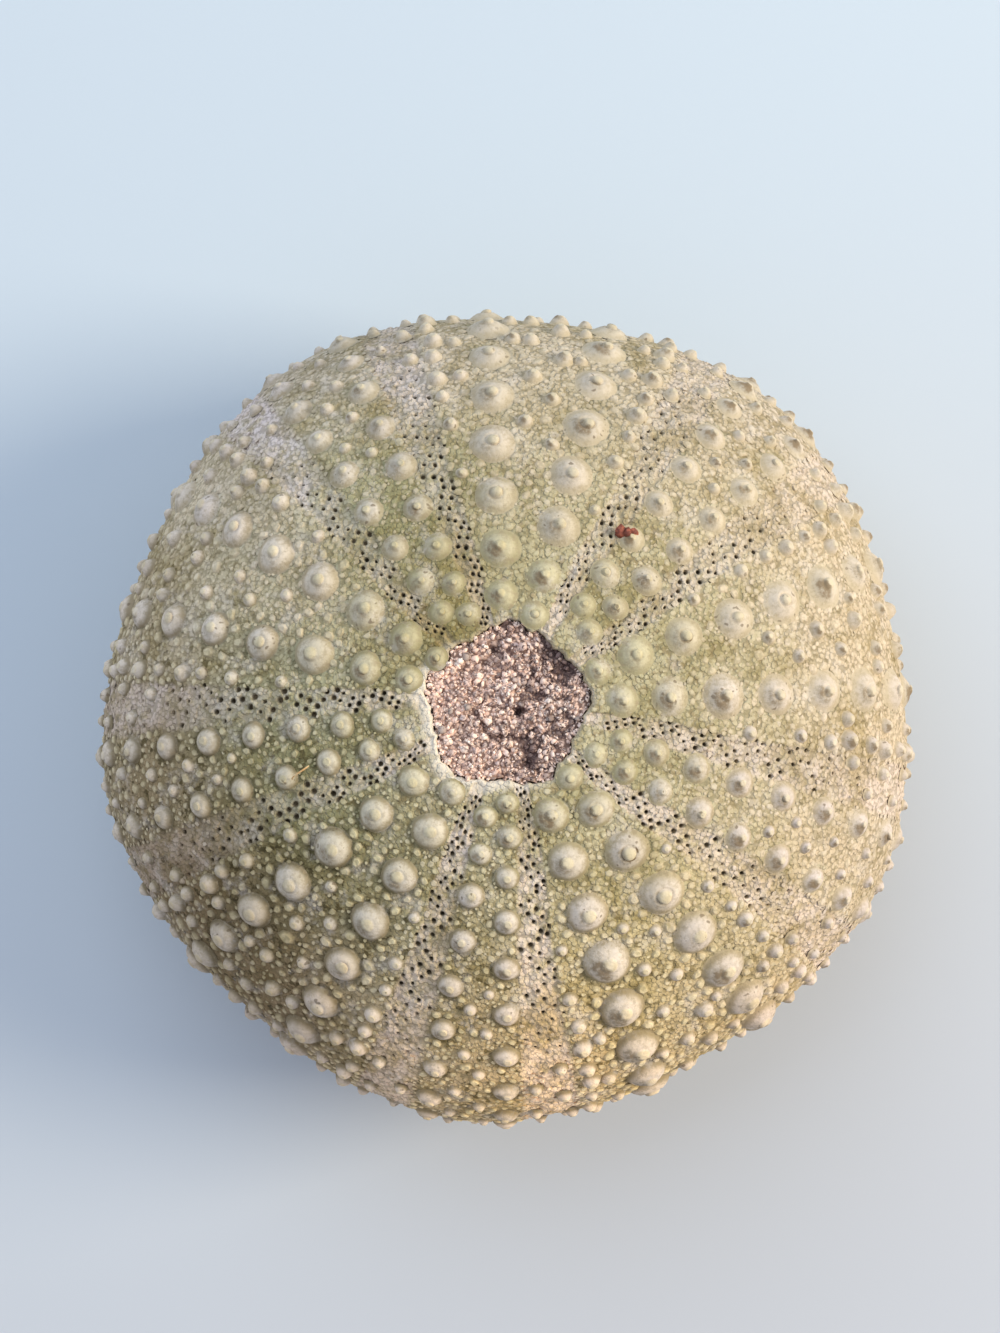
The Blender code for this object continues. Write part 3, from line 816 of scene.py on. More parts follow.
def inside_ray(found, middle, half):
    """Which tubercles lie within this half angle and clear of both holes."""
    across = arc(half(found.reach) - np.abs(found.azimuth - middle), found.reach)
    bare = 0.55 * MM * pale_side(found.azimuth)
    low = found.reach - rim_reach(found.azimuth) > found.radius * 0.6 + EDGE_CLEAR + bare
    return (across > found.radius * 0.55) & low & (MOUTH_REACH - found.reach > found.radius + EDGE_CLEAR)


def seam_beads():
    """Beads strung along the ten seams between the rays, so that both sides keep clear of them."""
    groups = []
    for seam in range(2 * RAYS):
        reach = APICAL_RADIUS + 0.9 * MM + np.cumsum(rng.uniform(0.42, 0.80, 110) * MM)
        reach = reach[reach < MOUTH_REACH - 0.6 * MM]
        across = rng.normal(0, 0.16, len(reach)) * MM * smooth(reach, 5 * MM, 14 * MM)
        radius = rng.uniform(0.15, 0.30, len(reach)) * MM * (0.75 + 0.25 * smooth(reach, 8 * MM, 20 * MM))
        middle = INTERAMBULACRUM_AZIMUTH + RAY_ANGLE * (seam // 2)
        edge = middle + interambulacral_half(reach) * (1 if seam % 2 else -1)
        azimuth = edge + arc_degrees(across, reach)
        groups.append(Tubercles(azimuth, reach, radius, radius * BEAD_RISE, np.full(len(reach), seam)))
    return joined(groups)


SECONDARY_ROWS = (
    # Azimuth from the middle, share of a plate down, from reach in mm, least and added radius, looseness
    (18.0, 0.50, 10.5, 0.36, 0.34, 0.5),
    (18.1, 0.05, 20.0, 0.28, 0.30, 0.4),
    (2.4, 0.50, 17.0, 0.30, 0.34, 0.9),
    (5.6, 0.50, 25.0, 0.26, 0.28, 0.5),
    (14.4, 0.50, 24.0, 0.26, 0.30, 0.5),
)
AMBULACRAL_ROWS = (
    # The same, beside the ambulacra's tubercles
    (1.9, 0.50, 19.0, 0.24, 0.26, 0.7),
    (10.2, 0.02, 27.0, 0.20, 0.24, 0.4),
    (14.6, 0.45, 25.0, 0.22, 0.28, 0.5),
)


def rows_beside(columns, rows, ray, middle):
    """Secondary tubercles of one ray: rows beside its large ones, added as the plates widen.

    A row's azimuth and its share of a plate down are loosened by the plate's own numbers, and its radius
    grows from the least by the added part as the wall widens, then shrinks a little underneath.
    """
    groups = []
    for side, found in columns[ray]:
        plate = np.arange(len(found.reach))
        for row, (off, down, start, least, added, loose) in enumerate(rows):
            share = down + 0.07 * scatter(ray, side, plate, 10 + row)
            reach = found.reach + share * np.gradient(found.reach)
            grown = smooth(reach, 9 * MM, 27 * MM) * (1 - 0.4 * smooth(reach, 48 * MM, 62 * MM))
            radius = (least + added * grown) * MM * (1 + 0.14 * scatter(ray, side, plate, 20 + row))
            azimuth = middle + side * (off + loose * scatter(ray, side, plate, 30 + row))
            rise = radius * (0.70 + 0.28 * grown)
            keep = (reach > start * MM) & (reach < MOUTH_REACH - 0.9 * MM)
            groups.append(picked(Tubercles(azimuth, reach, radius, rise, found.ray), keep))
    return joined(groups)


def pore_guards(ray, middle):
    """The pores of one ambulacrum as tubercles, so that beads keep clear of them."""
    groups = []
    for side, found in AMBULACRAL_COLUMNS[ray]:
        azimuth, reach, size = pore_places(side, middle, found)
        groups.append(Tubercles(azimuth, reach, size * 1.1, size, np.full(len(size), ray)))
    return joined(groups)


def ambulacral_beads(ray, middle, secondaries, seams):
    """An ambulacrum's beads: halos round its tubercles, and the rest sprinkled between them and the pores."""
    found = of_ray(AMBULACRAL_COLUMNS, ray)
    candidates = joined(
        [
            halo(found, clear=0.44 * MM, size=0.25 * MM, spacing=0.80 * MM),
            sprinkle(5200, middle, ambulacral_half, ray, sizes=(0.12 * MM, 0.44 * MM)),
        ]
    )
    candidates = picked(candidates, inside_ray(candidates, middle, ambulacral_half))
    band = pore_band(candidates.azimuth - middle, candidates.reach)
    small = np.where(band > 0.2, np.minimum(candidates.radius, 0.16 * MM), candidates.radius)
    candidates = candidates._replace(radius=small, height=small * BEAD_RISE * (1 - 0.2 * band))
    candidates = picked(candidates, rng.random(len(band)) > PORE_ZONE_BARE * band)
    return spread_out(candidates, joined([found, secondaries, pore_guards(ray, middle), seams]), BEAD_LEAST)


def interambulacral_beads(ray, middle, secondaries, seams):
    """An interambulacrum's beads: halos round the large tubercles, and the rest sprinkled between."""
    found = of_ray(INTERAMBULACRAL_COLUMNS, ray)
    candidates = joined(
        [
            halo(found, clear=0.62 * MM, size=0.36 * MM, spacing=1.05 * MM),
            halo(secondaries, clear=0.36 * MM, size=0.23 * MM, spacing=0.75 * MM),
            sprinkle(6000, middle, interambulacral_half, ray, sizes=(0.15 * MM, 0.60 * MM)),
        ]
    )
    candidates = picked(candidates, inside_ray(candidates, middle, interambulacral_half))
    return spread_out(candidates, joined([found, secondaries, seams]), BEAD_LEAST)


def lowered(found):
    """Beads worn lower towards the side that BOLD_AZIMUTH faces away from."""
    return found._replace(height=found.height * (WORN + (1 - WORN) * boldness(found, -14 * MM, 12 * MM)))


def apex_tint(found):
    """0 near the apical hole, where the tubercles are greener, to 1 well away from it, with scatter."""
    return np.clip(smooth(found.reach, 7 * MM, 17 * MM) + 0.22 * own_number(found, 2, 9), 0, 1)


def make_tubercles(material, bead_material):
    """Every tubercle and bead of the test, as joined pieces by kind."""
    large, lesser = (
        joined([of_ray(columns, ray) for ray in range(RAYS)])
        for columns in (INTERAMBULACRAL_COLUMNS, AMBULACRAL_COLUMNS)
    )
    make_knobs("large_tubercles", DOME, 24, large, material, BOSS_WOBBLE, CONE, CRACKED)
    dome, cone = DOME[LESSER_RINGS], CONE[LESSER_RINGS]
    make_knobs("ambulacral_tubercles", dome, 15, lesser, material, BOSS_WOBBLE, cone)
    seams = seam_beads()
    guards = spread_out(seams, joined([large, lesser]), BEAD_LEAST)
    secondaries, beads = [], [guards]
    for ray in range(RAYS):
        middle = INTERAMBULACRUM_AZIMUTH + RAY_ANGLE * ray
        own = rows_beside(INTERAMBULACRAL_COLUMNS, SECONDARY_ROWS, ray, middle)
        own = spread_out(own, of_ray(INTERAMBULACRAL_COLUMNS, ray), SECONDARY_LEAST)
        secondaries.append(picked(own, inside_ray(own, middle, interambulacral_half)))
        beads.append(interambulacral_beads(ray, middle, secondaries[-1], guards))
        middle = AMBULACRUM_AZIMUTH + RAY_ANGLE * ray
        own = rows_beside(AMBULACRAL_COLUMNS, AMBULACRAL_ROWS, ray, middle)
        own = spread_out(own, of_ray(AMBULACRAL_COLUMNS, ray), SECONDARY_LEAST)
        secondaries.append(own)
        beads.append(ambulacral_beads(ray, middle, own, guards))
    make_knobs("secondary_tubercles", SMALL_KNOB, 9, joined(secondaries), material, KNOB_WOBBLE)
    found = lowered(joined(beads))
    coarse = found.radius > COARSE_BEAD
    near = found.reach < UPPER_REACH
    kinds = (
        ("beads", BEAD, 7, coarse),
        ("fine_beads_upper", SMALL_BEAD, 6, ~coarse & near),
        ("fine_beads_lower", SMALL_BEAD, 6, ~coarse & ~near),
    )
    for name, unit, sides, keep in kinds:
        make_knobs(name, unit, sides, picked(found, keep), bead_material, BEAD_WOBBLE)


# ---------------------------------------------------------------- the sand

SAND_SIDES = 120
SAND_RINGS, INSIDE_RINGS = 40, 16  # over the sand's top, and down the inside of the wall
SAND_SUNK = 0.46 * MM
SAND_TILT = 0.022  # it lies higher on the -X side
NECK_GAP, NECK_DEPTH = 0.12 * MM, 0.95 * MM  # of the sand in the apical hole
SAND_GAP = 0.3 * MM  # between the sand and the wall
SAND_WAIST_GAP = 0.45 * MM  # in the mouth
FOOT_RADIUS = 10.2 * MM
FOOT_LEVEL = 0.10 * MM
SAND_MOUND = 0.25 * MM
CAKE_RADIUS = 2.1 * MM  # a caked lump in the middle, with a crack round its near side
CAKE_MIDDLE = 0.1 * MM, -0.2 * MM
CAKE_CRACK = 0.34 * MM
CAKE_CRACK_AZIMUTH = 235.0
# Humps and pits in the sand's top: x, y, radius and height
DIMPLES = MM * np.array(
    [
        (0.0, 0.90, 0.75, 0.38),
        (0.55, -0.50, 0.42, -0.95),
        (1.35, -3.00, 0.55, -0.50),
        (1.20, -3.85, 0.35, -0.55),
        (2.80, 3.60, 0.60, -0.35),
        (3.70, 2.20, 0.55, -0.35),
        (-1.10, 3.70, 0.30, -0.60),
        (-1.60, 2.90, 0.40, -0.40),
        (-3.00, -1.70, 0.45, -0.30),
    ]
)
TOP_GRAINS, FOOT_GRAINS = 9000, 3000
GRAIN_KNOCKS = 0.26  # how far each corner of a grain is moved in or out, as a share of its radius
GRAIN_STRETCH = 0.55, 1.40  # least and most that a grain is drawn out each way
TOP_PACKED, FOOT_PACKED = 0.76, 0.85  # how near two grains stand, as a share of their radii together


def dimples(x, y):
    """The height of each hump and pit, and its Gaussian at these places."""
    for across, along, radius, height in DIMPLES:
        yield height, np.exp(-((x - across) ** 2 + (y - along) ** 2) / radius**2)


def cake_crack(x, y, width):
    """1 in the crack round the caked lump: a Gaussian across a wavering ring, on one side only."""
    x, y = x - CAKE_MIDDLE[0], y - CAKE_MIDDLE[1]
    turn = np.arctan2(y, x)
    away = np.hypot(x, y) + (0.16 * np.sin(3 * turn) + 0.12 * np.sin(7 * turn + 1)) * MM
    side = smooth(np.cos(turn - math.radians(CAKE_CRACK_AZIMUTH)), -0.15, 0.35)
    return bell(away, CAKE_RADIUS, width) * side


def sand_lumps(x, y):
    """The sand's lumps, about -1 to 1: value noise in three sizes."""
    points = np.stack((x, y, x * 0), axis=-1)
    coarse, middling = cloud(points, 0.8 * MM, 4), cloud(points, 0.38 * MM, 5)
    return 0.5 * coarse + 0.7 * middling + 0.7 * cloud(points, 0.21 * MM, 7)


def sand_level(x, y):
    """Height of the sand's top over its edge.

    A mound, less for the distance from the middle squared; a tilt; the humps and pits; the crack; lumps.
    """
    level = SAND_MOUND * (1 - (np.hypot(x, y) / APICAL_RADIUS) ** 2) - SAND_TILT * x
    level = level + sum(height * share for height, share in dimples(x, y))
    return level - CAKE_CRACK * cake_crack(x, y, 0.17 * MM) + 0.17 * MM * sand_lumps(x, y)


def sand_hollow_shade(x, y):
    """1 in the hollows between the sand's lumps, in its pits and in the crack, 0 on top of them, and less
    towards -X: a mask for painted shade.
    """
    low = sand_lumps(x, y) + sum(2.4 * np.sign(height) * share for height, share in dimples(x, y))
    low = low - 1.9 * cake_crack(x, y, 0.15 * MM)
    return (1 - smooth(low, -0.62, -0.16)) * (0.55 + 0.45 * smooth(x, -3.0 * MM, 2.0 * MM))


def sand_hump(x, y):
    """1 on the humps of the sand's top."""
    return sum(share for height, share in dimples(x, y) if height > 0)


def sand_edge(azimuth):
    """The ring of the sand's top edge, just inside the apical rim."""
    return on_test(azimuth, rim_reach(azimuth) - NECK_GAP, -SAND_SUNK)


def sand_top(x, y):
    """Height of the sand's top: the mean of its edge, plus its own relief."""
    azimuth = np.linspace(0, 360, SAND_SIDES, endpoint=False)
    return sand_edge(azimuth)[:, 2].mean() + sand_level(x, y)


def make_sand_body(material):
    """The sand's closed form: rings from the middle of its top, down inside the wall, to its foot."""
    azimuth = np.linspace(0, 360, SAND_SIDES, endpoint=False)
    turn = np.radians(azimuth)
    edge = sand_edge(azimuth)
    rings = []
    for share in np.linspace(0.02, 1.0, SAND_RINGS):
        x, y = edge[:, 0] * share, edge[:, 1] * share
        rings.append(np.stack((x, y, sand_top(x, y)), axis=-1))
    rim = rim_reach(azimuth)
    rings.append(on_test(azimuth, rim - NECK_GAP, -SAND_SUNK - NECK_DEPTH))
    for share in np.linspace(0.08, 1.0, INSIDE_RINGS):
        rings.append(on_test(azimuth, rim * (1 - share) + MOUTH_REACH * share, -WALL - SAND_GAP))
    mouth_level = float(wall_at(MOUTH_REACH)[1])
    waist = MOUTH_RADIUS - SAND_WAIST_GAP
    steps = [(waist, mouth_level + WALL), (waist, mouth_level)]
    steps += [((waist + FOOT_RADIUS) / 2, mouth_level * 0.35), (FOOT_RADIUS, FOOT_LEVEL)]
    steps += [(FOOT_RADIUS * share, FOOT_LEVEL) for share in (0.75, 0.5, 0.25, 0.05)]
    for radius, level in steps:
        rings.append(np.stack((radius * np.cos(turn), radius * np.sin(turn), turn * 0 + level), axis=-1))
    middle = np.zeros(1)
    ends = [(0, 0, sand_top(middle, middle)[0]), (0, 0, FOOT_LEVEL)]
    points = np.concatenate(rings + [ends])
    quads = grid_quads(len(rings), SAND_SIDES, close_columns=True)
    fans = end_fans(len(rings), SAND_SIDES, len(points) - 2, len(points) - 1)
    # The hollows of the top, for painted shade
    hollow_shade = sand_hollow_shade(points[:, 0], points[:, 1]) * (points[:, 2] > AMBITUS_HEIGHT)
    return dress(make_piece("sand_body", points, quads, fans, {"hollow_shade": hollow_shade}), material, "sand_fill")


def twenty_faces():
    """A grain's form before it is knocked about: an icosahedron's 12 points and 20 faces."""
    g = (1 + 5**0.5) / 2
    points = np.array(
        [(-1, g, 0), (1, g, 0), (-1, -g, 0), (1, -g, 0), (0, -1, g), (0, 1, g)]
        + [(0, -1, -g), (0, 1, -g), (g, 0, -1), (g, 0, 1), (-g, 0, -1), (-g, 0, 1)],
        float,
    )
    near = np.linalg.norm(points[:, None] - points[None], axis=-1) < 2.1
    faces = []
    for a in range(12):
        for b in range(a + 1, 12):
            for c in range(b + 1, 12):
                if near[a, b] and near[b, c] and near[a, c]:
                    facing = np.dot(np.cross(points[b] - points[a], points[c] - points[a]), points[a])
                    faces.append((a, b, c) if facing > 0 else (a, c, b))
    return points / np.linalg.norm(points[0]), np.array(faces)


def turned(count):
    """Random rotations, each from a random unit quaternion."""
    q = rng.normal(size=(count, 4))
    w, x, y, z = (q / np.linalg.norm(q, axis=1, keepdims=True)).T
    rows = [
        [1 - 2 * (y * y + z * z), 2 * (x * y - z * w), 2 * (x * z + y * w)],
        [2 * (x * y + z * w), 1 - 2 * (x * x + z * z), 2 * (y * z - x * w)],
        [2 * (x * z - y * w), 2 * (y * z + x * w), 1 - 2 * (x * x + y * y)],
    ]
    return np.moveaxis(np.array(rows), -1, 0)


def make_grains(name, centres, radii, material, hollow_shade=0.0, pale=0.0, floor=None, node="sand_fill"):
    """Joined grains: an icosahedron knocked about, drawn out, turned at random and set at each centre."""
    unit, faces = twenty_faces()
    count = len(centres)
    shapes = unit[None] * (1 + rng.normal(0, GRAIN_KNOCKS, (count, 12, 1)))
    shapes = shapes * rng.uniform(*GRAIN_STRETCH, (count, 1, 3)) * radii[:, None, None]
    points = np.einsum("nij,nkj->nki", turned(count), shapes) + centres[:, None]
    if floor is not None:
        points[..., 2] = np.maximum(points[..., 2], floor)
    points[..., 2] = np.minimum(points[..., 2], CAD_BOX[1][2] - 0.01 * MM)
    tris = (faces[None] + (np.arange(count) * 12)[:, None, None]).reshape(-1, 3)
    own = {"kind": rng.random(count), "hollow_shade": hollow_shade, "pale": pale}
    masks = {key: np.repeat(np.broadcast_to(values, count), 12) for key, values in own.items()}
    piece = make_piece(name, points.reshape(-1, 3), np.zeros((0, 4)), tris, masks, flat=True)
    return dress(piece, material, node)


def make_sand(body_material, grain_material):
    """The sand in the shell: its body, the grains seen in the apical hole and those on its foot."""
    make_sand_body(body_material)
    away = np.sqrt(rng.random(TOP_GRAINS))
    azimuth = rng.uniform(0, 360, TOP_GRAINS)
    edge = sand_edge(azimuth)
    x, y = edge[:, 0] * away * 1.02, edge[:, 1] * away * 1.02
    radii = np.sort(rng.uniform(0.055, 0.105, TOP_GRAINS) + 0.18 * rng.random(TOP_GRAINS) ** 5)[::-1] * MM
    keep = keep_apart(np.column_stack((x, y, x * 0)), radii, TOP_PACKED)
    x, y, radii = x[keep], y[keep], radii[keep]
    level = sand_top(x, y) + radii * rng.uniform(-0.55, 0.35, len(radii))
    hollow_shade = sand_hollow_shade(x, y)
    centres = np.stack((x, y, level), axis=-1)
    make_grains("sand_grains", centres, radii, grain_material, hollow_shade, sand_hump(x, y))
    away = np.sqrt(rng.random(FOOT_GRAINS)) * (FOOT_RADIUS + 0.2 * MM)
    turn = rng.uniform(0, 2 * math.pi, FOOT_GRAINS)
    radii = np.sort(rng.uniform(0.20, 0.36, FOOT_GRAINS))[::-1] * MM
    centres = np.column_stack((away * np.cos(turn), away * np.sin(turn), away * 0))
    keep = keep_apart(centres, radii, FOOT_PACKED)
    centres, radii, away = centres[keep], radii[keep], away[keep]
    centres[:, 2] = FOOT_LEVEL + 0.3 * radii + smooth(away, 9.6 * MM, 10.6 * MM) * 0.3 * MM
    make_grains("foot_grains", centres, radii, grain_material, floor=0.0)


# azimuth, reach in mm and radius in mm of the bits of a red grain stuck on the test
RED_GRAIN = np.array([(57.2, 13.90, 0.40), (55.8, 14.12, 0.46), (54.4, 14.34, 0.36)])
FIBRE_ENDS = ((198.8, 15.35 * MM), (196.6, 13.93 * MM))  # azimuth and reach of a fibre's two ends
FIBRE_RADIUS, FIBRE_SIDES, FIBRE_STEPS = 0.06 * MM, 8, 24


def make_fibre(material):
    """A fibre on the test: a ring carried along a path that sways by a sine and rises by half of one."""
    share = np.linspace(0, 1, FIBRE_STEPS)
    (from_azimuth, from_reach), (to_azimuth, to_reach) = FIBRE_ENDS
    azimuth = from_azimuth + (to_azimuth - from_azimuth) * share
    reach = from_reach + (to_reach - from_reach) * share + 0.12 * MM * np.sin(2 * math.pi * share)
    path = on_test(azimuth, reach, (0.45 + 0.45 * np.sin(math.pi * share)) * MM)
    ahead = np.gradient(path, axis=0)
    ahead /= np.linalg.norm(ahead, axis=1, keepdims=True)
    side = np.cross(ahead, [0, 0, 1.0])
    side /= np.linalg.norm(side, axis=1, keepdims=True)
    above = np.cross(side, ahead)
    turn = np.linspace(0, 2 * math.pi, FIBRE_SIDES, endpoint=False)
    width = FIBRE_RADIUS * np.sqrt(np.maximum(1 - (2 * share - 1) ** 8, 0.02))[:, None, None]
    ring = np.cos(turn)[None, :, None] * side[:, None] + np.sin(turn)[None, :, None] * above[:, None]
    points = (path[:, None] + width * ring).reshape(-1, 3)
    fans = end_fans(FIBRE_STEPS, FIBRE_SIDES, len(points), len(points) + 1)
    quads = grid_quads(FIBRE_STEPS, FIBRE_SIDES, close_columns=True)
    piece = make_piece("fibre", np.concatenate((points, path[[0, -1]])), quads[:, ::-1], fans[:, ::-1])
    dress(piece, material, "test")


def make_red_grain(material):
    """One coarse grain, broken in three, stuck on the test."""
    azimuth, reach, radius = RED_GRAIN[:, 0], RED_GRAIN[:, 1] * MM, RED_GRAIN[:, 2] * MM
    make_grains("red_grain", on_test(azimuth, reach, 0.70 * radius), radius, material, node="test")


# ---------------------------------------------------------------- materials


class ShaderTree:
    """A material's or a group's nodes, with a short word for each kind.

    A value is a socket or a number, a colour is a socket or three numbers, and all textures are laid out
    by Object coordinates.
    """

    def __init__(self, tree, material=None):
        self.tree, self.material = tree, material
        self.where = tree.nodes.new("ShaderNodeTexCoord").outputs["Object"]

    def feed(self, socket, value):
        """Links a socket to its input, or sets a plain value there."""
        if isinstance(value, bpy.types.NodeSocket):
            self.tree.links.new(value, socket)
        else:
            socket.default_value = (*value, 1) if socket.type == "RGBA" else value

    def node(self, kind, **settings):
        """A node with its own settings, and its inputs given by name."""
        made = self.tree.nodes.new(kind)
        for key, value in settings.items():
            if hasattr(made, key):
                setattr(made, key, value)
            else:
                self.feed(made.inputs[key], value)
        return made

    def fed(self, kind, operation, values):
        """A node for sums, its inputs given in turn."""
        made = self.node(kind, operation=operation)
        for socket, value in zip(made.inputs, values):
            self.feed(socket, value)
        return made

    def math(self, operation, *values):
        """A sum of numbers."""
        return self.fed("ShaderNodeMath", operation, values).outputs[0]

    def vector(self, operation, *values):
        """A sum of vectors, as the node itself, whose output depends on the operation."""
        return self.fed("ShaderNodeVectorMath", operation, values)

    def times(self, first, second):
        """The product of two values."""
        return self.math("MULTIPLY", first, second)

    def scaled(self, value, by, plus):
        """A value times another, plus a third."""
        return self.math("MULTIPLY_ADD", value, by, plus)

    def inverse(self, value):
        """One less the value."""
        return self.math("SUBTRACT", 1.0, value)

    def ramp(self, value, low, high):
        """0 at low and 1 at high, smoothed."""
        limits = {"From Min": low, "From Max": high}
        made = self.node("ShaderNodeMapRange", interpolation_type="SMOOTHSTEP", Value=value, **limits)
        return made.outputs["Result"]

    def noise(self, scale, detail=3.0, roughness=0.55):
        """Soft noise, about 0.2 to 0.8."""
        settings = {"Scale": scale, "Detail": detail, "Roughness": roughness}
        return self.node("ShaderNodeTexNoise", Vector=self.where, **settings).outputs["Fac"]

    def patches(self, scale, low, high, detail=3.0, roughness=0.55):
        """Noise that is 0 at low and 1 at high."""
        return self.ramp(self.noise(scale, detail, roughness), low, high)

    def cells(self, scale):
        """Distance from the middle of round cells."""
        return self.node("ShaderNodeTexVoronoi", Vector=self.where, Scale=scale).outputs["Distance"]

    def attribute(self, name):
        """A mask that the mesh carries on its points."""
        return self.node("ShaderNodeAttribute", attribute_name=name).outputs["Fac"]

    def along(self, axis):
        """The place along one axis."""
        return self.node("ShaderNodeSeparateXYZ", Vector=self.where).outputs[axis]

    def from_axis(self, x=0.0, y=0.0):
        """Distance from the upright line through x and y."""
        flat = self.vector("MULTIPLY_ADD", self.where, (1, 1, 0), (-x, -y, 0)).outputs[0]
        return self.vector("LENGTH", flat).outputs["Value"]

    def mix(self, factor, first, second, blend="MIX"):
        """One colour mixed into another."""
        made = self.node("ShaderNodeMix", data_type="RGBA", blend_type=blend)
        sockets = {socket.identifier: socket for socket in made.inputs}
        self.feed(sockets["Factor_Float"], factor)
        self.feed(sockets["A_Color"], first)
        self.feed(sockets["B_Color"], second)
        return next(socket for socket in made.outputs if socket.identifier == "Result_Color")

    def coat(self, colour, paint, mask, strength):
        """A colour with paint laid over it where the mask is, this strongly."""
        return self.mix(self.times(mask, strength), colour, paint)

    def group(self, group, colour, **values):
        """Puts a group in, fed with a colour, and gives its outputs."""
        made = self.node("ShaderNodeGroup", node_tree=group)
        for key, value in {"Colour": colour, **values}.items():
            self.feed(made.inputs[key], value)
        return made.outputs

    def finish(self, colour, height=None, strength=0.5, distance=0.05 * MM):
        """Links the colour, and the height through a Bump node, and gives the material."""
        shader = self.tree.nodes["Principled BSDF"]
        self.feed(shader.inputs["Base Color"], colour)
        if height is not None:
            bump = self.node("ShaderNodeBump", Strength=strength, Distance=distance, Height=height)
            self.feed(shader.inputs["Normal"], bump.outputs["Normal"])
        return self.material


def new_material(name, roughness):
    """The nodes of a new material, its Principled shader matt."""
    material = bpy.data.materials.new(name)
    material.use_nodes = True
    shader = material.node_tree.nodes["Principled BSDF"]
    shader.inputs["Roughness"].default_value = roughness
    shader.inputs["Specular IOR Level"].default_value = 0.3
    return ShaderTree(material.node_tree, material)


def new_group(name, inputs, outputs):
    """A shader node group with these named sockets, and its two end nodes."""
    group = bpy.data.node_groups.new(name, "ShaderNodeTree")
    for label, kind, value in inputs:
        group.interface.new_socket(label, in_out="INPUT", socket_type=kind).default_value = value
    for label, kind in outputs:
        group.interface.new_socket(label, in_out="OUTPUT", socket_type=kind)
    return group, group.nodes.new("NodeGroupInput"), group.nodes.new("NodeGroupOutput")


# Tints for each side of the test, partly painted light and shade: the -Y side is made lighter and warmer
# where the key light reaches its edge
REGIONS = (
    # Axis and sign, from and to (in metres), and the tint that the colour is multiplied by there
    ("X", 1, 0.008, 0.027, (1.08, 1.07, 1.18)),
    ("X", -1, 0.008, 0.027, (0.98, 0.95, 0.96)),
    ("Y", 1, 0.010, 0.028, (0.97, 1.0, 1.12)),
    ("Y", -1, 0.014, 0.029, (1.16, 1.05, 0.93)),
)
# Tinted patches on the test; those that lighten it towards -Y are painted light
PATCHES = (
    # Middle (x, y) and radius in millimetres, and the tint there
    (-4, 7, 4.5, (0.62, 0.57, 0.36)),
    (-8, 13, 6, (0.66, 0.69, 0.56)),
    (-15, -3, 7, (0.79, 0.86, 0.79)),
    (-13, -11, 7, (0.70, 0.70, 0.58)),
    (-18, -18, 8, (0.60, 0.53, 0.46)),
    (-24, -7, 7, (0.70, 0.65, 0.56)),
    (-18, 15, 8, (1.17, 1.22, 1.30)),
    (-2, -22, 5, (0.80, 0.79, 0.75)),
    (14, -18, 10, (1.07, 1.04, 0.93)),
    (1, -27, 9, (1.50, 1.42, 1.30)),
    (5, -14, 7, (1.16, 1.14, 1.12)),
)


def weathering_and_light_group():
    """Weathering and painted light: a tint for each side of the test and tinted patches, partly painted light
    and shade, then stains, pale powder and fine dark speckle.
    """
    group, start, end = new_group(
        "weathering_and_painted_light",
        [
            ("Colour", "NodeSocketColor", (0.5, 0.5, 0.5, 1)),
            ("Stain", "NodeSocketFloat", 0.5),
            ("Powder", "NodeSocketFloat", 0.3),
            ("Speckle", "NodeSocketFloat", 0.3),
            ("Granules", "NodeSocketFloat", 0.5),
            ("Region", "NodeSocketFloat", 1.0),
        ],
        [("Colour", "NodeSocketColor"), ("Height", "NodeSocketFloat")],
    )
    tree = ShaderTree(group)
    wander = tree.scaled(tree.noise(120.0), 0.016, -0.008)
    colour = start.outputs["Colour"]
    for axis, sign, low, high, tint in REGIONS:
        along = tree.scaled(tree.along(axis), float(sign), wander)
        colour = tree.mix(tree.ramp(along, low, high), colour, tint, "MULTIPLY")
    for x, y, radius, tint in PATCHES:
        inside = tree.math("ADD", tree.from_axis(x * MM, y * MM), tree.times(wander, 0.6))
        inside = tree.inverse(tree.ramp(inside, 0.3 * radius * MM, 1.5 * radius * MM))
        inside = tree.times(inside, start.outputs["Region"])
        colour = tree.mix(inside, colour, tint, "MULTIPLY")
    stain = tree.times(tree.patches(230.0, 0.44, 0.66, 5.0, 0.65), start.outputs["Stain"])
    colour = tree.mix(stain, colour, (0.66, 0.63, 0.47), "MULTIPLY")
    powder = tree.patches(420.0, 0.50, 0.68, 5.0, 0.7)
    colour = tree.coat(colour, (0.78, 0.69, 0.61), powder, start.outputs["Powder"])
    fine = tree.noise(3800.0, 2.0, 0.7)
    gaps = tree.ramp(tree.scaled(fine, 0.6, tree.cells(3300.0)), 0.72, 1.05)
    colour = tree.coat(colour, (0.17, 0.13, 0.055), gaps, start.outputs["Speckle"])
    tree.feed(end.inputs["Colour"], colour)
    height = tree.math("SUBTRACT", fine, tree.times(gaps, start.outputs["Granules"]))
    tree.feed(end.inputs["Height"], height)
    return group


def side_mask(tree, azimuth, low, high):
    """0 short of one distance from the axis towards an azimuth, 1 past another, with an uneven edge."""
    turn = math.radians(azimuth)
    along = tree.vector("DOT_PRODUCT", tree.where, (math.cos(turn), math.sin(turn), 0)).outputs["Value"]
    return tree.ramp(tree.scaled(tree.noise(140.0), 0.012, along), low, high)


def shaded_side(tree):
    """1 on the side of the test away from the key light, 0 on the other: there hollows and feet are painted
    darker as shade, and tops paler.
    """
    return side_mask(tree, BOLD_AZIMUTH, 0.004, 0.024)


def sandy_side(tree):
    """1 on the side of the test where all is one sandy colour, 0 on the other."""
    return side_mask(tree, SANDY_AZIMUTH, 0.010, 0.028)


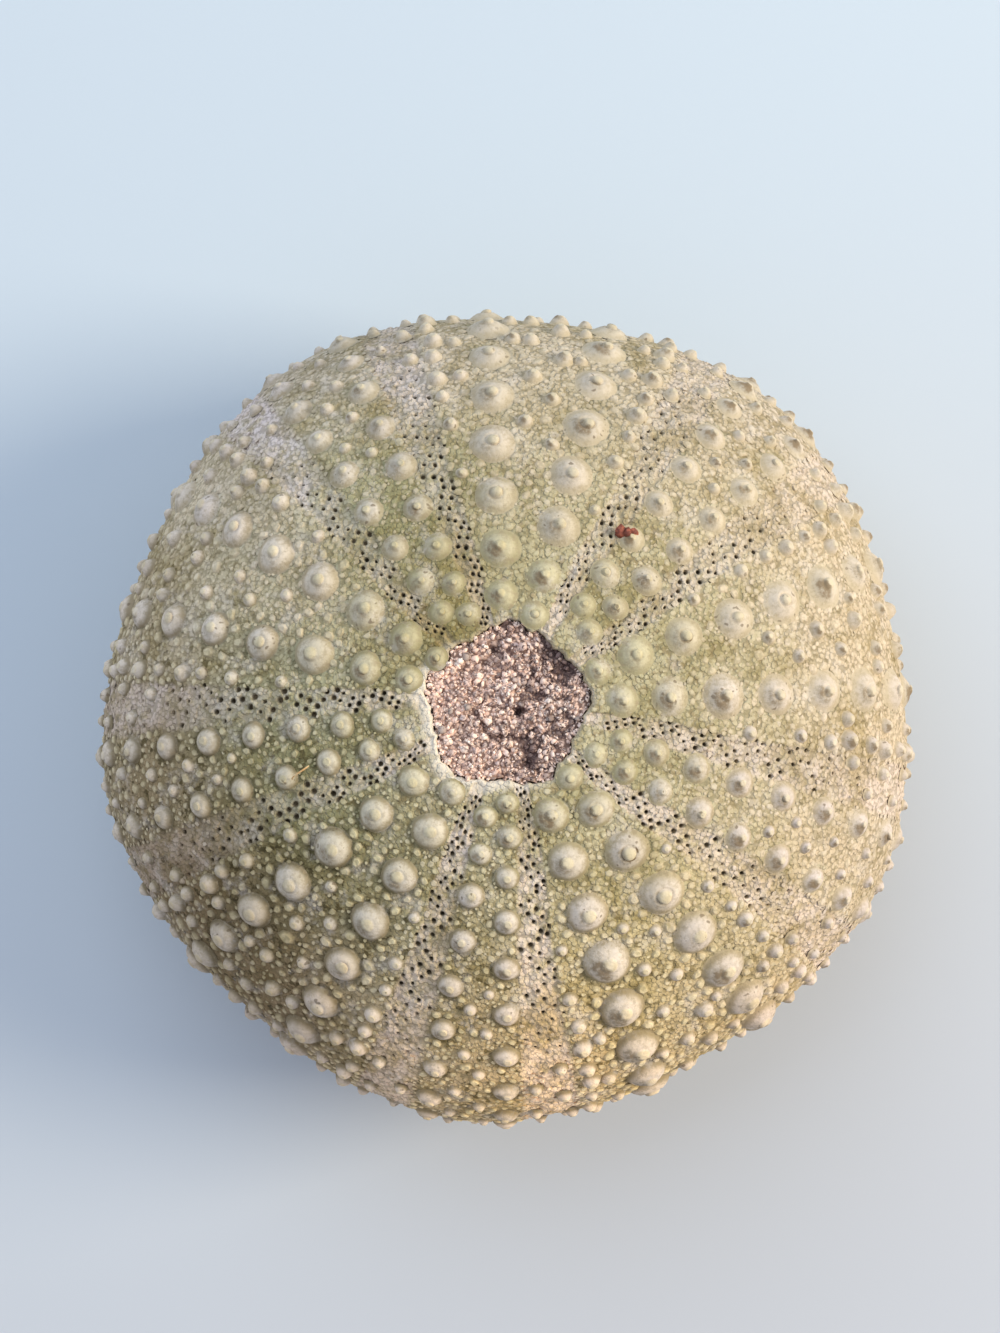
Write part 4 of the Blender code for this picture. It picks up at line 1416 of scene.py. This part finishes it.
def wall_material(weathering_and_light):
    """Olive ground, greener near the apical hole, its pits and areoles painted darker as shade on the side
    away from the key light; pink-white pore zones; pores painted near black as shade; a cream rim.
    """
    tree = new_material("weathered_calcite", 0.85)
    far = tree.ramp(tree.scaled(tree.noise(160.0, 4.0), 0.014, tree.from_axis()), 0.016, 0.034)
    ground = tree.mix(far, (0.47, 0.40, 0.225), (0.57, 0.455, 0.285))
    clear = tree.patches(1300.0, 0.40, 0.62, 3.0, 0.6)
    light = tree.mix(far, (0.66, 0.59, 0.38), (0.76, 0.62, 0.41))
    ground = tree.coat(ground, light, clear, 0.55)
    # Painted shade on the side away from the key light: darker pits, a darker ground and dark areoles round
    # each tubercle; on the other side the areoles are paler
    pits = tree.patches(1500.0, 0.36, 0.46, 2.0, 0.5)
    side = shaded_side(tree)
    pit = tree.mix(side, (0.43, 0.345, 0.20), (0.17, 0.13, 0.055))
    ground = tree.mix(pits, pit, ground)
    ground = tree.coat(ground, (0.20, 0.165, 0.08), side, 0.22)
    around = tree.mix(side, (0.58, 0.54, 0.37), (0.20, 0.165, 0.09))
    ground = tree.coat(ground, around, tree.attribute("areole"), 0.60)
    # Painted shadow of each tubercle on the wall, darker on the shaded side
    lee_darkening = tree.times(tree.attribute("lee_shade"), tree.scaled(side, 0.35, 0.40))
    ground = tree.mix(lee_darkening, ground, (0.17, 0.14, 0.07))
    mottle = tree.times(tree.patches(900.0, 0.25, 0.58), tree.scaled(sandy_side(tree), -0.60, 1.0))
    band = tree.times(tree.attribute("band"), mottle)
    ground = tree.coat(ground, (0.79, 0.655, 0.55), band, 0.9)
    dots = tree.inverse(tree.ramp(tree.cells(3900.0), 0.22, 0.50))
    dots = tree.times(dots, tree.patches(800.0, 0.40, 0.60, 2.0))
    ground = tree.coat(ground, light, dots, 0.55)
    out = tree.group(weathering_and_light, ground, Stain=0.9, Powder=0.40, Speckle=0.40, Granules=0.9, Region=1.0)
    worn = tree.patches(1700.0, 0.30, 0.50, 3.0, 0.7)
    rim = tree.times(tree.attribute("rim"), tree.scaled(worn, 0.45, 0.42))
    weathered = tree.mix(rim, out["Colour"], (0.90, 0.80, 0.66))
    # Pores painted near black as shade in their pits
    hole = tree.inverse(tree.ramp(tree.attribute("pore"), 0.75, 1.45))
    depth = tree.patches(640.0, 0.35, 0.65, 2.0)
    dark = tree.mix(depth, (0.045, 0.032, 0.016), (0.17, 0.125, 0.07))
    colour = tree.mix(hole, weathered, dark)
    return tree.finish(colour, out["Height"], 0.8, 0.10 * MM)


def tubercle_material(weathering_and_light):
    """Pink-cream bosses, yellow-green near the hole, olive at the foot, which is painted darker as shade on
    the side away from the key light, with painted shade and dirt on the flank away from that light and a
    brown crack on some.
    """
    tree = new_material("tubercle_calcite", 0.6)
    tint = tree.attribute("tint")
    top = tree.mix(tint, (0.68, 0.61, 0.40), (0.74, 0.635, 0.485))
    top = tree.coat(top, (0.76, 0.66, 0.62), tree.times(tree.attribute("own"), tint), 0.45)
    foot = tree.mix(tint, (0.50, 0.44, 0.25), (0.59, 0.48, 0.32))
    side = shaded_side(tree)
    top = tree.mix(tree.scaled(side, -0.22, 0.22), top, foot)
    top = tree.coat(top, (0.83, 0.735, 0.60), side, 0.75)
    top = tree.coat(top, (0.68, 0.585, 0.515), side_mask(tree, ROSY_AZIMUTH, 0.008, 0.024), 0.70)
    # Feet painted darker as shade, most on the shaded side, and the colour runs from the foot up to the top
    foot = tree.mix(tree.scaled(side, 0.60, 0.15), foot, (0.19, 0.15, 0.075))
    patch = tree.scaled(tree.noise(700.0), 0.4, tree.attribute("rise"))
    colour = tree.mix(tree.ramp(patch, 0.26, 0.82), foot, top)
    colour = tree.coat(colour, (0.78, 0.66, 0.385), tree.ramp(tree.attribute("rise"), 0.80, 0.90), 0.50)
    out = tree.group(weathering_and_light, colour, Stain=0.40, Powder=0.45, Speckle=0.12, Granules=0.10, Region=0.45)
    dusty = tree.patches(2300.0, 0.48, 0.62, 4.0, 0.75)
    low = tree.scaled(tree.attribute("rise"), -0.55, 0.75)
    colour = tree.coat(out["Colour"], (0.36, 0.28, 0.17), dusty, low)
    colour = tree.coat(colour, (0.66, 0.55, 0.365), sandy_side(tree), 0.42)
    broken = tree.patches(1500.0, 0.34, 0.52, 3.0, 0.7)
    # Darkening in the groove round the knob: dirt and painted shade
    colour = tree.coat(colour, (0.22, 0.16, 0.085), tree.times(tree.attribute("groove"), broken), 0.95)
    # Painted shade, grey, on each tubercle's flank away from the key light
    colour = tree.coat(colour, (0.34, 0.31, 0.24), tree.ramp(tree.attribute("lee_shade"), 0.0, 0.7), 0.42)
    pitted = tree.inverse(tree.patches(2300.0, 0.25, 0.33, 1.0, 0.4))
    pitted = tree.times(pitted, tree.ramp(tree.attribute("own"), 0.45, 0.65))
    colour = tree.coat(colour, (0.17, 0.12, 0.07), pitted, 0.70)
    # Brown dirt on that flank, laid there also as painted shade
    lee_darkening = tree.scaled(tree.noise(2300.0, 4.0, 0.75), 1.7, -0.25)
    lee_darkening = tree.ramp(tree.times(lee_darkening, tree.attribute("lee_shade")), 0.12, 0.60)
    colour = tree.coat(colour, (0.225, 0.150, 0.075), lee_darkening, 0.80)
    crack = tree.ramp(tree.attribute("crack"), 0.30, 0.95)
    crack = tree.times(crack, tree.patches(1700.0, 0.36, 0.56))
    colour = tree.mix(crack, colour, (0.19, 0.125, 0.065))
    return tree.finish(colour, out["Height"], 0.55, 0.07 * MM)


def bead_material(weathering_and_light):
    """Beads: pale yellow-green to cream, each a little its own, olive at the foot, which is painted darker as
    shade, most on the side away from the key light.
    """
    tree = new_material("bead_calcite", 0.75)
    tint = tree.attribute("tint")
    top = tree.mix(tint, (0.66, 0.60, 0.37), (0.76, 0.63, 0.43))
    foot = tree.mix(tint, (0.50, 0.43, 0.24), (0.60, 0.48, 0.31))
    side = shaded_side(tree)
    # Feet painted darker as shade, most on the shaded side; the colour runs from the foot up to the top, so
    # the gaps between beads read dark
    foot = tree.coat(foot, (0.20, 0.16, 0.08), side, 0.60)
    top = tree.mix(tree.scaled(side, -0.30, 0.30), top, foot)
    top = tree.coat(top, (0.86, 0.76, 0.49), side, 0.70)
    colour = tree.mix(tree.ramp(tree.attribute("rise"), 0.0, 0.8), foot, top)
    uneven = tree.patches(1500.0, 0.42, 0.66, 3.0, 0.6)
    colour = tree.coat(colour, (0.42, 0.35, 0.19), uneven, 0.40)
    paler = tree.patches(520.0, 0.52, 0.72, 2.0)
    colour = tree.coat(colour, (0.74, 0.65, 0.50), paler, 0.5)
    sandy = sandy_side(tree)
    zone = tree.times(tree.attribute("band"), tree.scaled(sandy, -0.45, 0.65))
    colour = tree.mix(zone, colour, (0.79, 0.655, 0.55))
    out = tree.group(weathering_and_light, colour, Stain=0.6, Powder=0.35, Speckle=0.25, Granules=0.4, Region=0.60)
    return tree.finish(out["Colour"], out["Height"], 0.6, 0.06 * MM)


def sand_side_light(tree, colour):
    """Sand painted paler and more orange towards -X, where the key light falls, and greyer towards +X in the
    rim's shadow: painted light and shade.
    """
    side = tree.ramp(tree.along("X"), -0.0035, 0.0035)
    # Painted light towards -X, painted shade towards +X
    tint = tree.mix(side, (1.38, 1.32, 1.26), (1.05, 1.02, 1.01))
    return tree.mix(1.0, colour, tint, "MULTIPLY")


CRUST = (0.84, 0.62, 0.52), (1.00, 0.86, 0.78)  # the two tones of the caked sand


def sand_flecks(tree):
    """Thin dark cracks in patches, and small dark flecks, more of both towards +X, partly as painted shade
    under the rim.
    """
    swirl = tree.node("ShaderNodeTexNoise", Vector=tree.where, Scale=2600.0, Detail=2.0).outputs["Color"]
    bent = tree.vector("MULTIPLY_ADD", swirl, (0.0003, 0.0003, 0.0003), tree.where).outputs[0]
    cracks = tree.node("ShaderNodeTexVoronoi", feature="DISTANCE_TO_EDGE", Vector=bent, Scale=2100.0)
    line = tree.inverse(tree.ramp(cracks.outputs["Distance"], 0.03, 0.11))
    line = tree.times(line, tree.patches(900.0, 0.38, 0.56, 2.0))
    fleck = tree.patches(3900.0, 0.56, 0.61, 2.0, 0.6)
    both = tree.math("MAXIMUM", tree.times(line, 0.85), fleck)
    # More flecks towards +X, partly painted shade under the rim
    side = tree.ramp(tree.along("X"), -0.0050, 0.0030)
    return tree.times(both, tree.scaled(side, 0.38, 0.60))


def grain_material():
    """Sand grains: each grain's own number picks pink, beige, white, brown, grey or black."""
    tree = new_material("sand_grain", 0.75)
    ramp = tree.node("ShaderNodeValToRGB")
    ramp.color_ramp.interpolation = "CONSTANT"
    stops = (
        (0.00, (0.97, 0.76, 0.64)),
        (0.28, (0.99, 0.82, 0.72)),
        (0.52, (0.92, 0.69, 0.58)),
        (0.69, (1.00, 0.91, 0.84)),
        (0.75, (0.68, 0.48, 0.41)),
        (0.86, (0.26, 0.155, 0.13)),
        (0.94, (0.060, 0.042, 0.038)),
        (0.975, (0.48, 0.39, 0.41)),
    )
    elements = ramp.color_ramp.elements
    elements[0].position, elements[1].position = stops[0][0], stops[-1][0]
    for position, _ in stops[1:-1]:
        elements.new(position)
    for element, (_, colour) in zip(elements, stops):
        element.color = (*colour, 1)
    tree.feed(ramp.inputs["Fac"], tree.attribute("kind"))
    mottle = tree.noise(5200.0, 2.0)
    shade = tree.mix(tree.ramp(mottle, 0.3, 0.7), (0.72, 0.70, 0.68), (1, 1, 1))
    colour = tree.mix(1.0, ramp.outputs["Color"], shade, "MULTIPLY")
    crust = tree.mix(tree.patches(1900.0, 0.35, 0.65), *CRUST)
    colour = tree.mix(0.35, colour, crust)
    colour = tree.coat(colour, (0.97, 0.86, 0.79), tree.attribute("pale"), 0.6)
    # Painted shade in the hollows of the sand's top
    colour = tree.coat(colour, (0.11, 0.062, 0.058), tree.ramp(tree.attribute("hollow_shade"), 0.20, 0.95), 0.78)
    colour = tree.mix(sand_flecks(tree), colour, (0.070, 0.040, 0.040))
    colour = sand_side_light(tree, colour)
    return tree.finish(colour, mottle, 0.3, 0.05 * MM)


def sand_material():
    """Packed sand between the grains: pink-brown, with painted shade in its gaps and hollows."""
    tree = new_material("packed_sand", 0.95)
    cells = tree.cells(3400.0)
    # Painted shade in the gaps between the cells, and in the hollows
    gap_shade = tree.ramp(cells, 0.32, 0.70)
    tone = tree.patches(2400.0, 0.35, 0.65, 2.0)
    grain = tree.mix(tone, (0.60, 0.41, 0.33), (0.86, 0.64, 0.53))
    colour = tree.mix(gap_shade, grain, (0.20, 0.125, 0.10))
    colour = tree.coat(colour, (0.09, 0.055, 0.052), tree.attribute("hollow_shade"), 0.9)
    colour = sand_side_light(tree, colour)
    return tree.finish(colour, tree.inverse(cells), 0.8, 0.12 * MM)


def red_grain_material():
    """A rust-red grain, darker in patches."""
    tree = new_material("red_mineral", 0.6)
    patch = tree.patches(2600.0, 0.40, 0.60, 2.0)
    colour = tree.mix(patch, (0.20, 0.060, 0.040), (0.42, 0.120, 0.070))
    return tree.finish(colour, patch, 0.4, 0.05 * MM)


def fibre_material():
    """A tan plant fibre, streaked."""
    tree = new_material("plant_fibre", 0.7)
    streak = tree.patches(3200.0, 0.35, 0.65, 2.0)
    colour = tree.mix(streak, (0.62, 0.36, 0.15), (0.86, 0.66, 0.38))
    return tree.finish(colour)


def floor_material():
    """Pale matt board, faintly clouded, bluer and lighter towards its far left: a painted tint for the cooler
    light there.
    """
    tree = new_material("pale_board", 0.8)
    slant = tree.vector("DOT_PRODUCT", tree.where, (-0.5, 1, 0)).outputs["Value"]
    drift = tree.scaled(tree.noise(14.0), 0.02, slant)
    colour = tree.mix(tree.ramp(drift, -0.05, 0.06), FLOOR_NEAR, FLOOR_FAR)
    return tree.finish(colour)


# ---------------------------------------------------------------- floor, light and camera

FLOOR_HALF = 0.5
# The floor's two tints; the bluer far one is painted light
FLOOR_NEAR, FLOOR_FAR = (0.60, 0.62, 0.66), (0.62, 0.70, 0.77)
CAMERA_TARGET = (-0.62 * MM, 3.3 * MM, 13.5 * MM)
CAMERA_DISTANCE = 166 * MM
CAMERA_ELEVATION = 87.5
CAMERA_LENS = 60.7


def make_floor():
    """A wide level board under the test."""
    corners = [(x * FLOOR_HALF, y * FLOOR_HALF, 0) for x, y in ((-1, -1), (1, -1), (1, 1), (-1, 1))]
    data = bpy.data.meshes.new("floor")
    data.from_pydata(corners, [], [(0, 1, 2, 3)])
    floor = bpy.data.objects.new("floor", data)
    data.materials.append(floor_material())
    bpy.context.scene.collection.objects.link(floor)


def area_light(name, azimuth, elevation, distance, size, power, colour):
    """A square lamp that faces the test from this azimuth, counted from +X, and elevation."""
    data = bpy.data.lights.new(name, "AREA")
    data.size, data.energy, data.color = size, power, colour
    lamp = bpy.data.objects.new(name, data)
    a, e = math.radians(azimuth), math.radians(elevation)
    away = np.array([math.cos(a) * math.cos(e), math.sin(a) * math.cos(e), math.sin(e)])
    lamp.location = away * distance + np.array([0, 0, AMBITUS_HEIGHT])
    lamp.rotation_euler = (math.pi / 2 - e, 0, a + math.pi / 2)
    bpy.context.scene.collection.objects.link(lamp)


def make_lights():
    """A warm key from the right, a cool fill from the far left and an even pale sky."""
    area_light("key", 4, 30, 0.60, 0.26, 3.4, (1.0, 0.90, 0.70))
    area_light("fill", 118, 48, 0.80, 0.80, 3.1, (0.74, 0.87, 1.0))
    world = bpy.data.worlds.new("sky")
    bpy.context.scene.world = world
    world.use_nodes = True
    sky = world.node_tree.nodes["Background"]
    sky.inputs["Color"].default_value = (0.42, 0.45, 0.53, 1)
    sky.inputs["Strength"].default_value = 1.0


def make_camera():
    """Looks down on the test from a little in front of its pole."""
    data = bpy.data.cameras.new("camera")
    data.lens, data.sensor_width = CAMERA_LENS, 36
    data.clip_start = 0.005
    camera = bpy.data.objects.new("camera", data)
    e = math.radians(CAMERA_ELEVATION)
    back = np.array([0, -math.cos(e), math.sin(e)])
    camera.location = np.array(CAMERA_TARGET) + back * CAMERA_DISTANCE
    camera.rotation_euler = (math.pi / 2 - e, 0, 0)
    bpy.context.scene.collection.objects.link(camera)
    bpy.context.scene.camera = camera


def main():
    """Builds every piece with its material, then the floor, the lights and the camera."""
    weathering_and_light = weathering_and_light_group()
    make_wall(wall_material(weathering_and_light))
    make_tubercles(tubercle_material(weathering_and_light), bead_material(weathering_and_light))
    make_sand(sand_material(), grain_material())
    make_red_grain(red_grain_material())
    make_fibre(fibre_material())
    make_floor()
    make_lights()
    make_camera()
    bpy.context.scene.view_settings.view_transform = "Standard"


main()
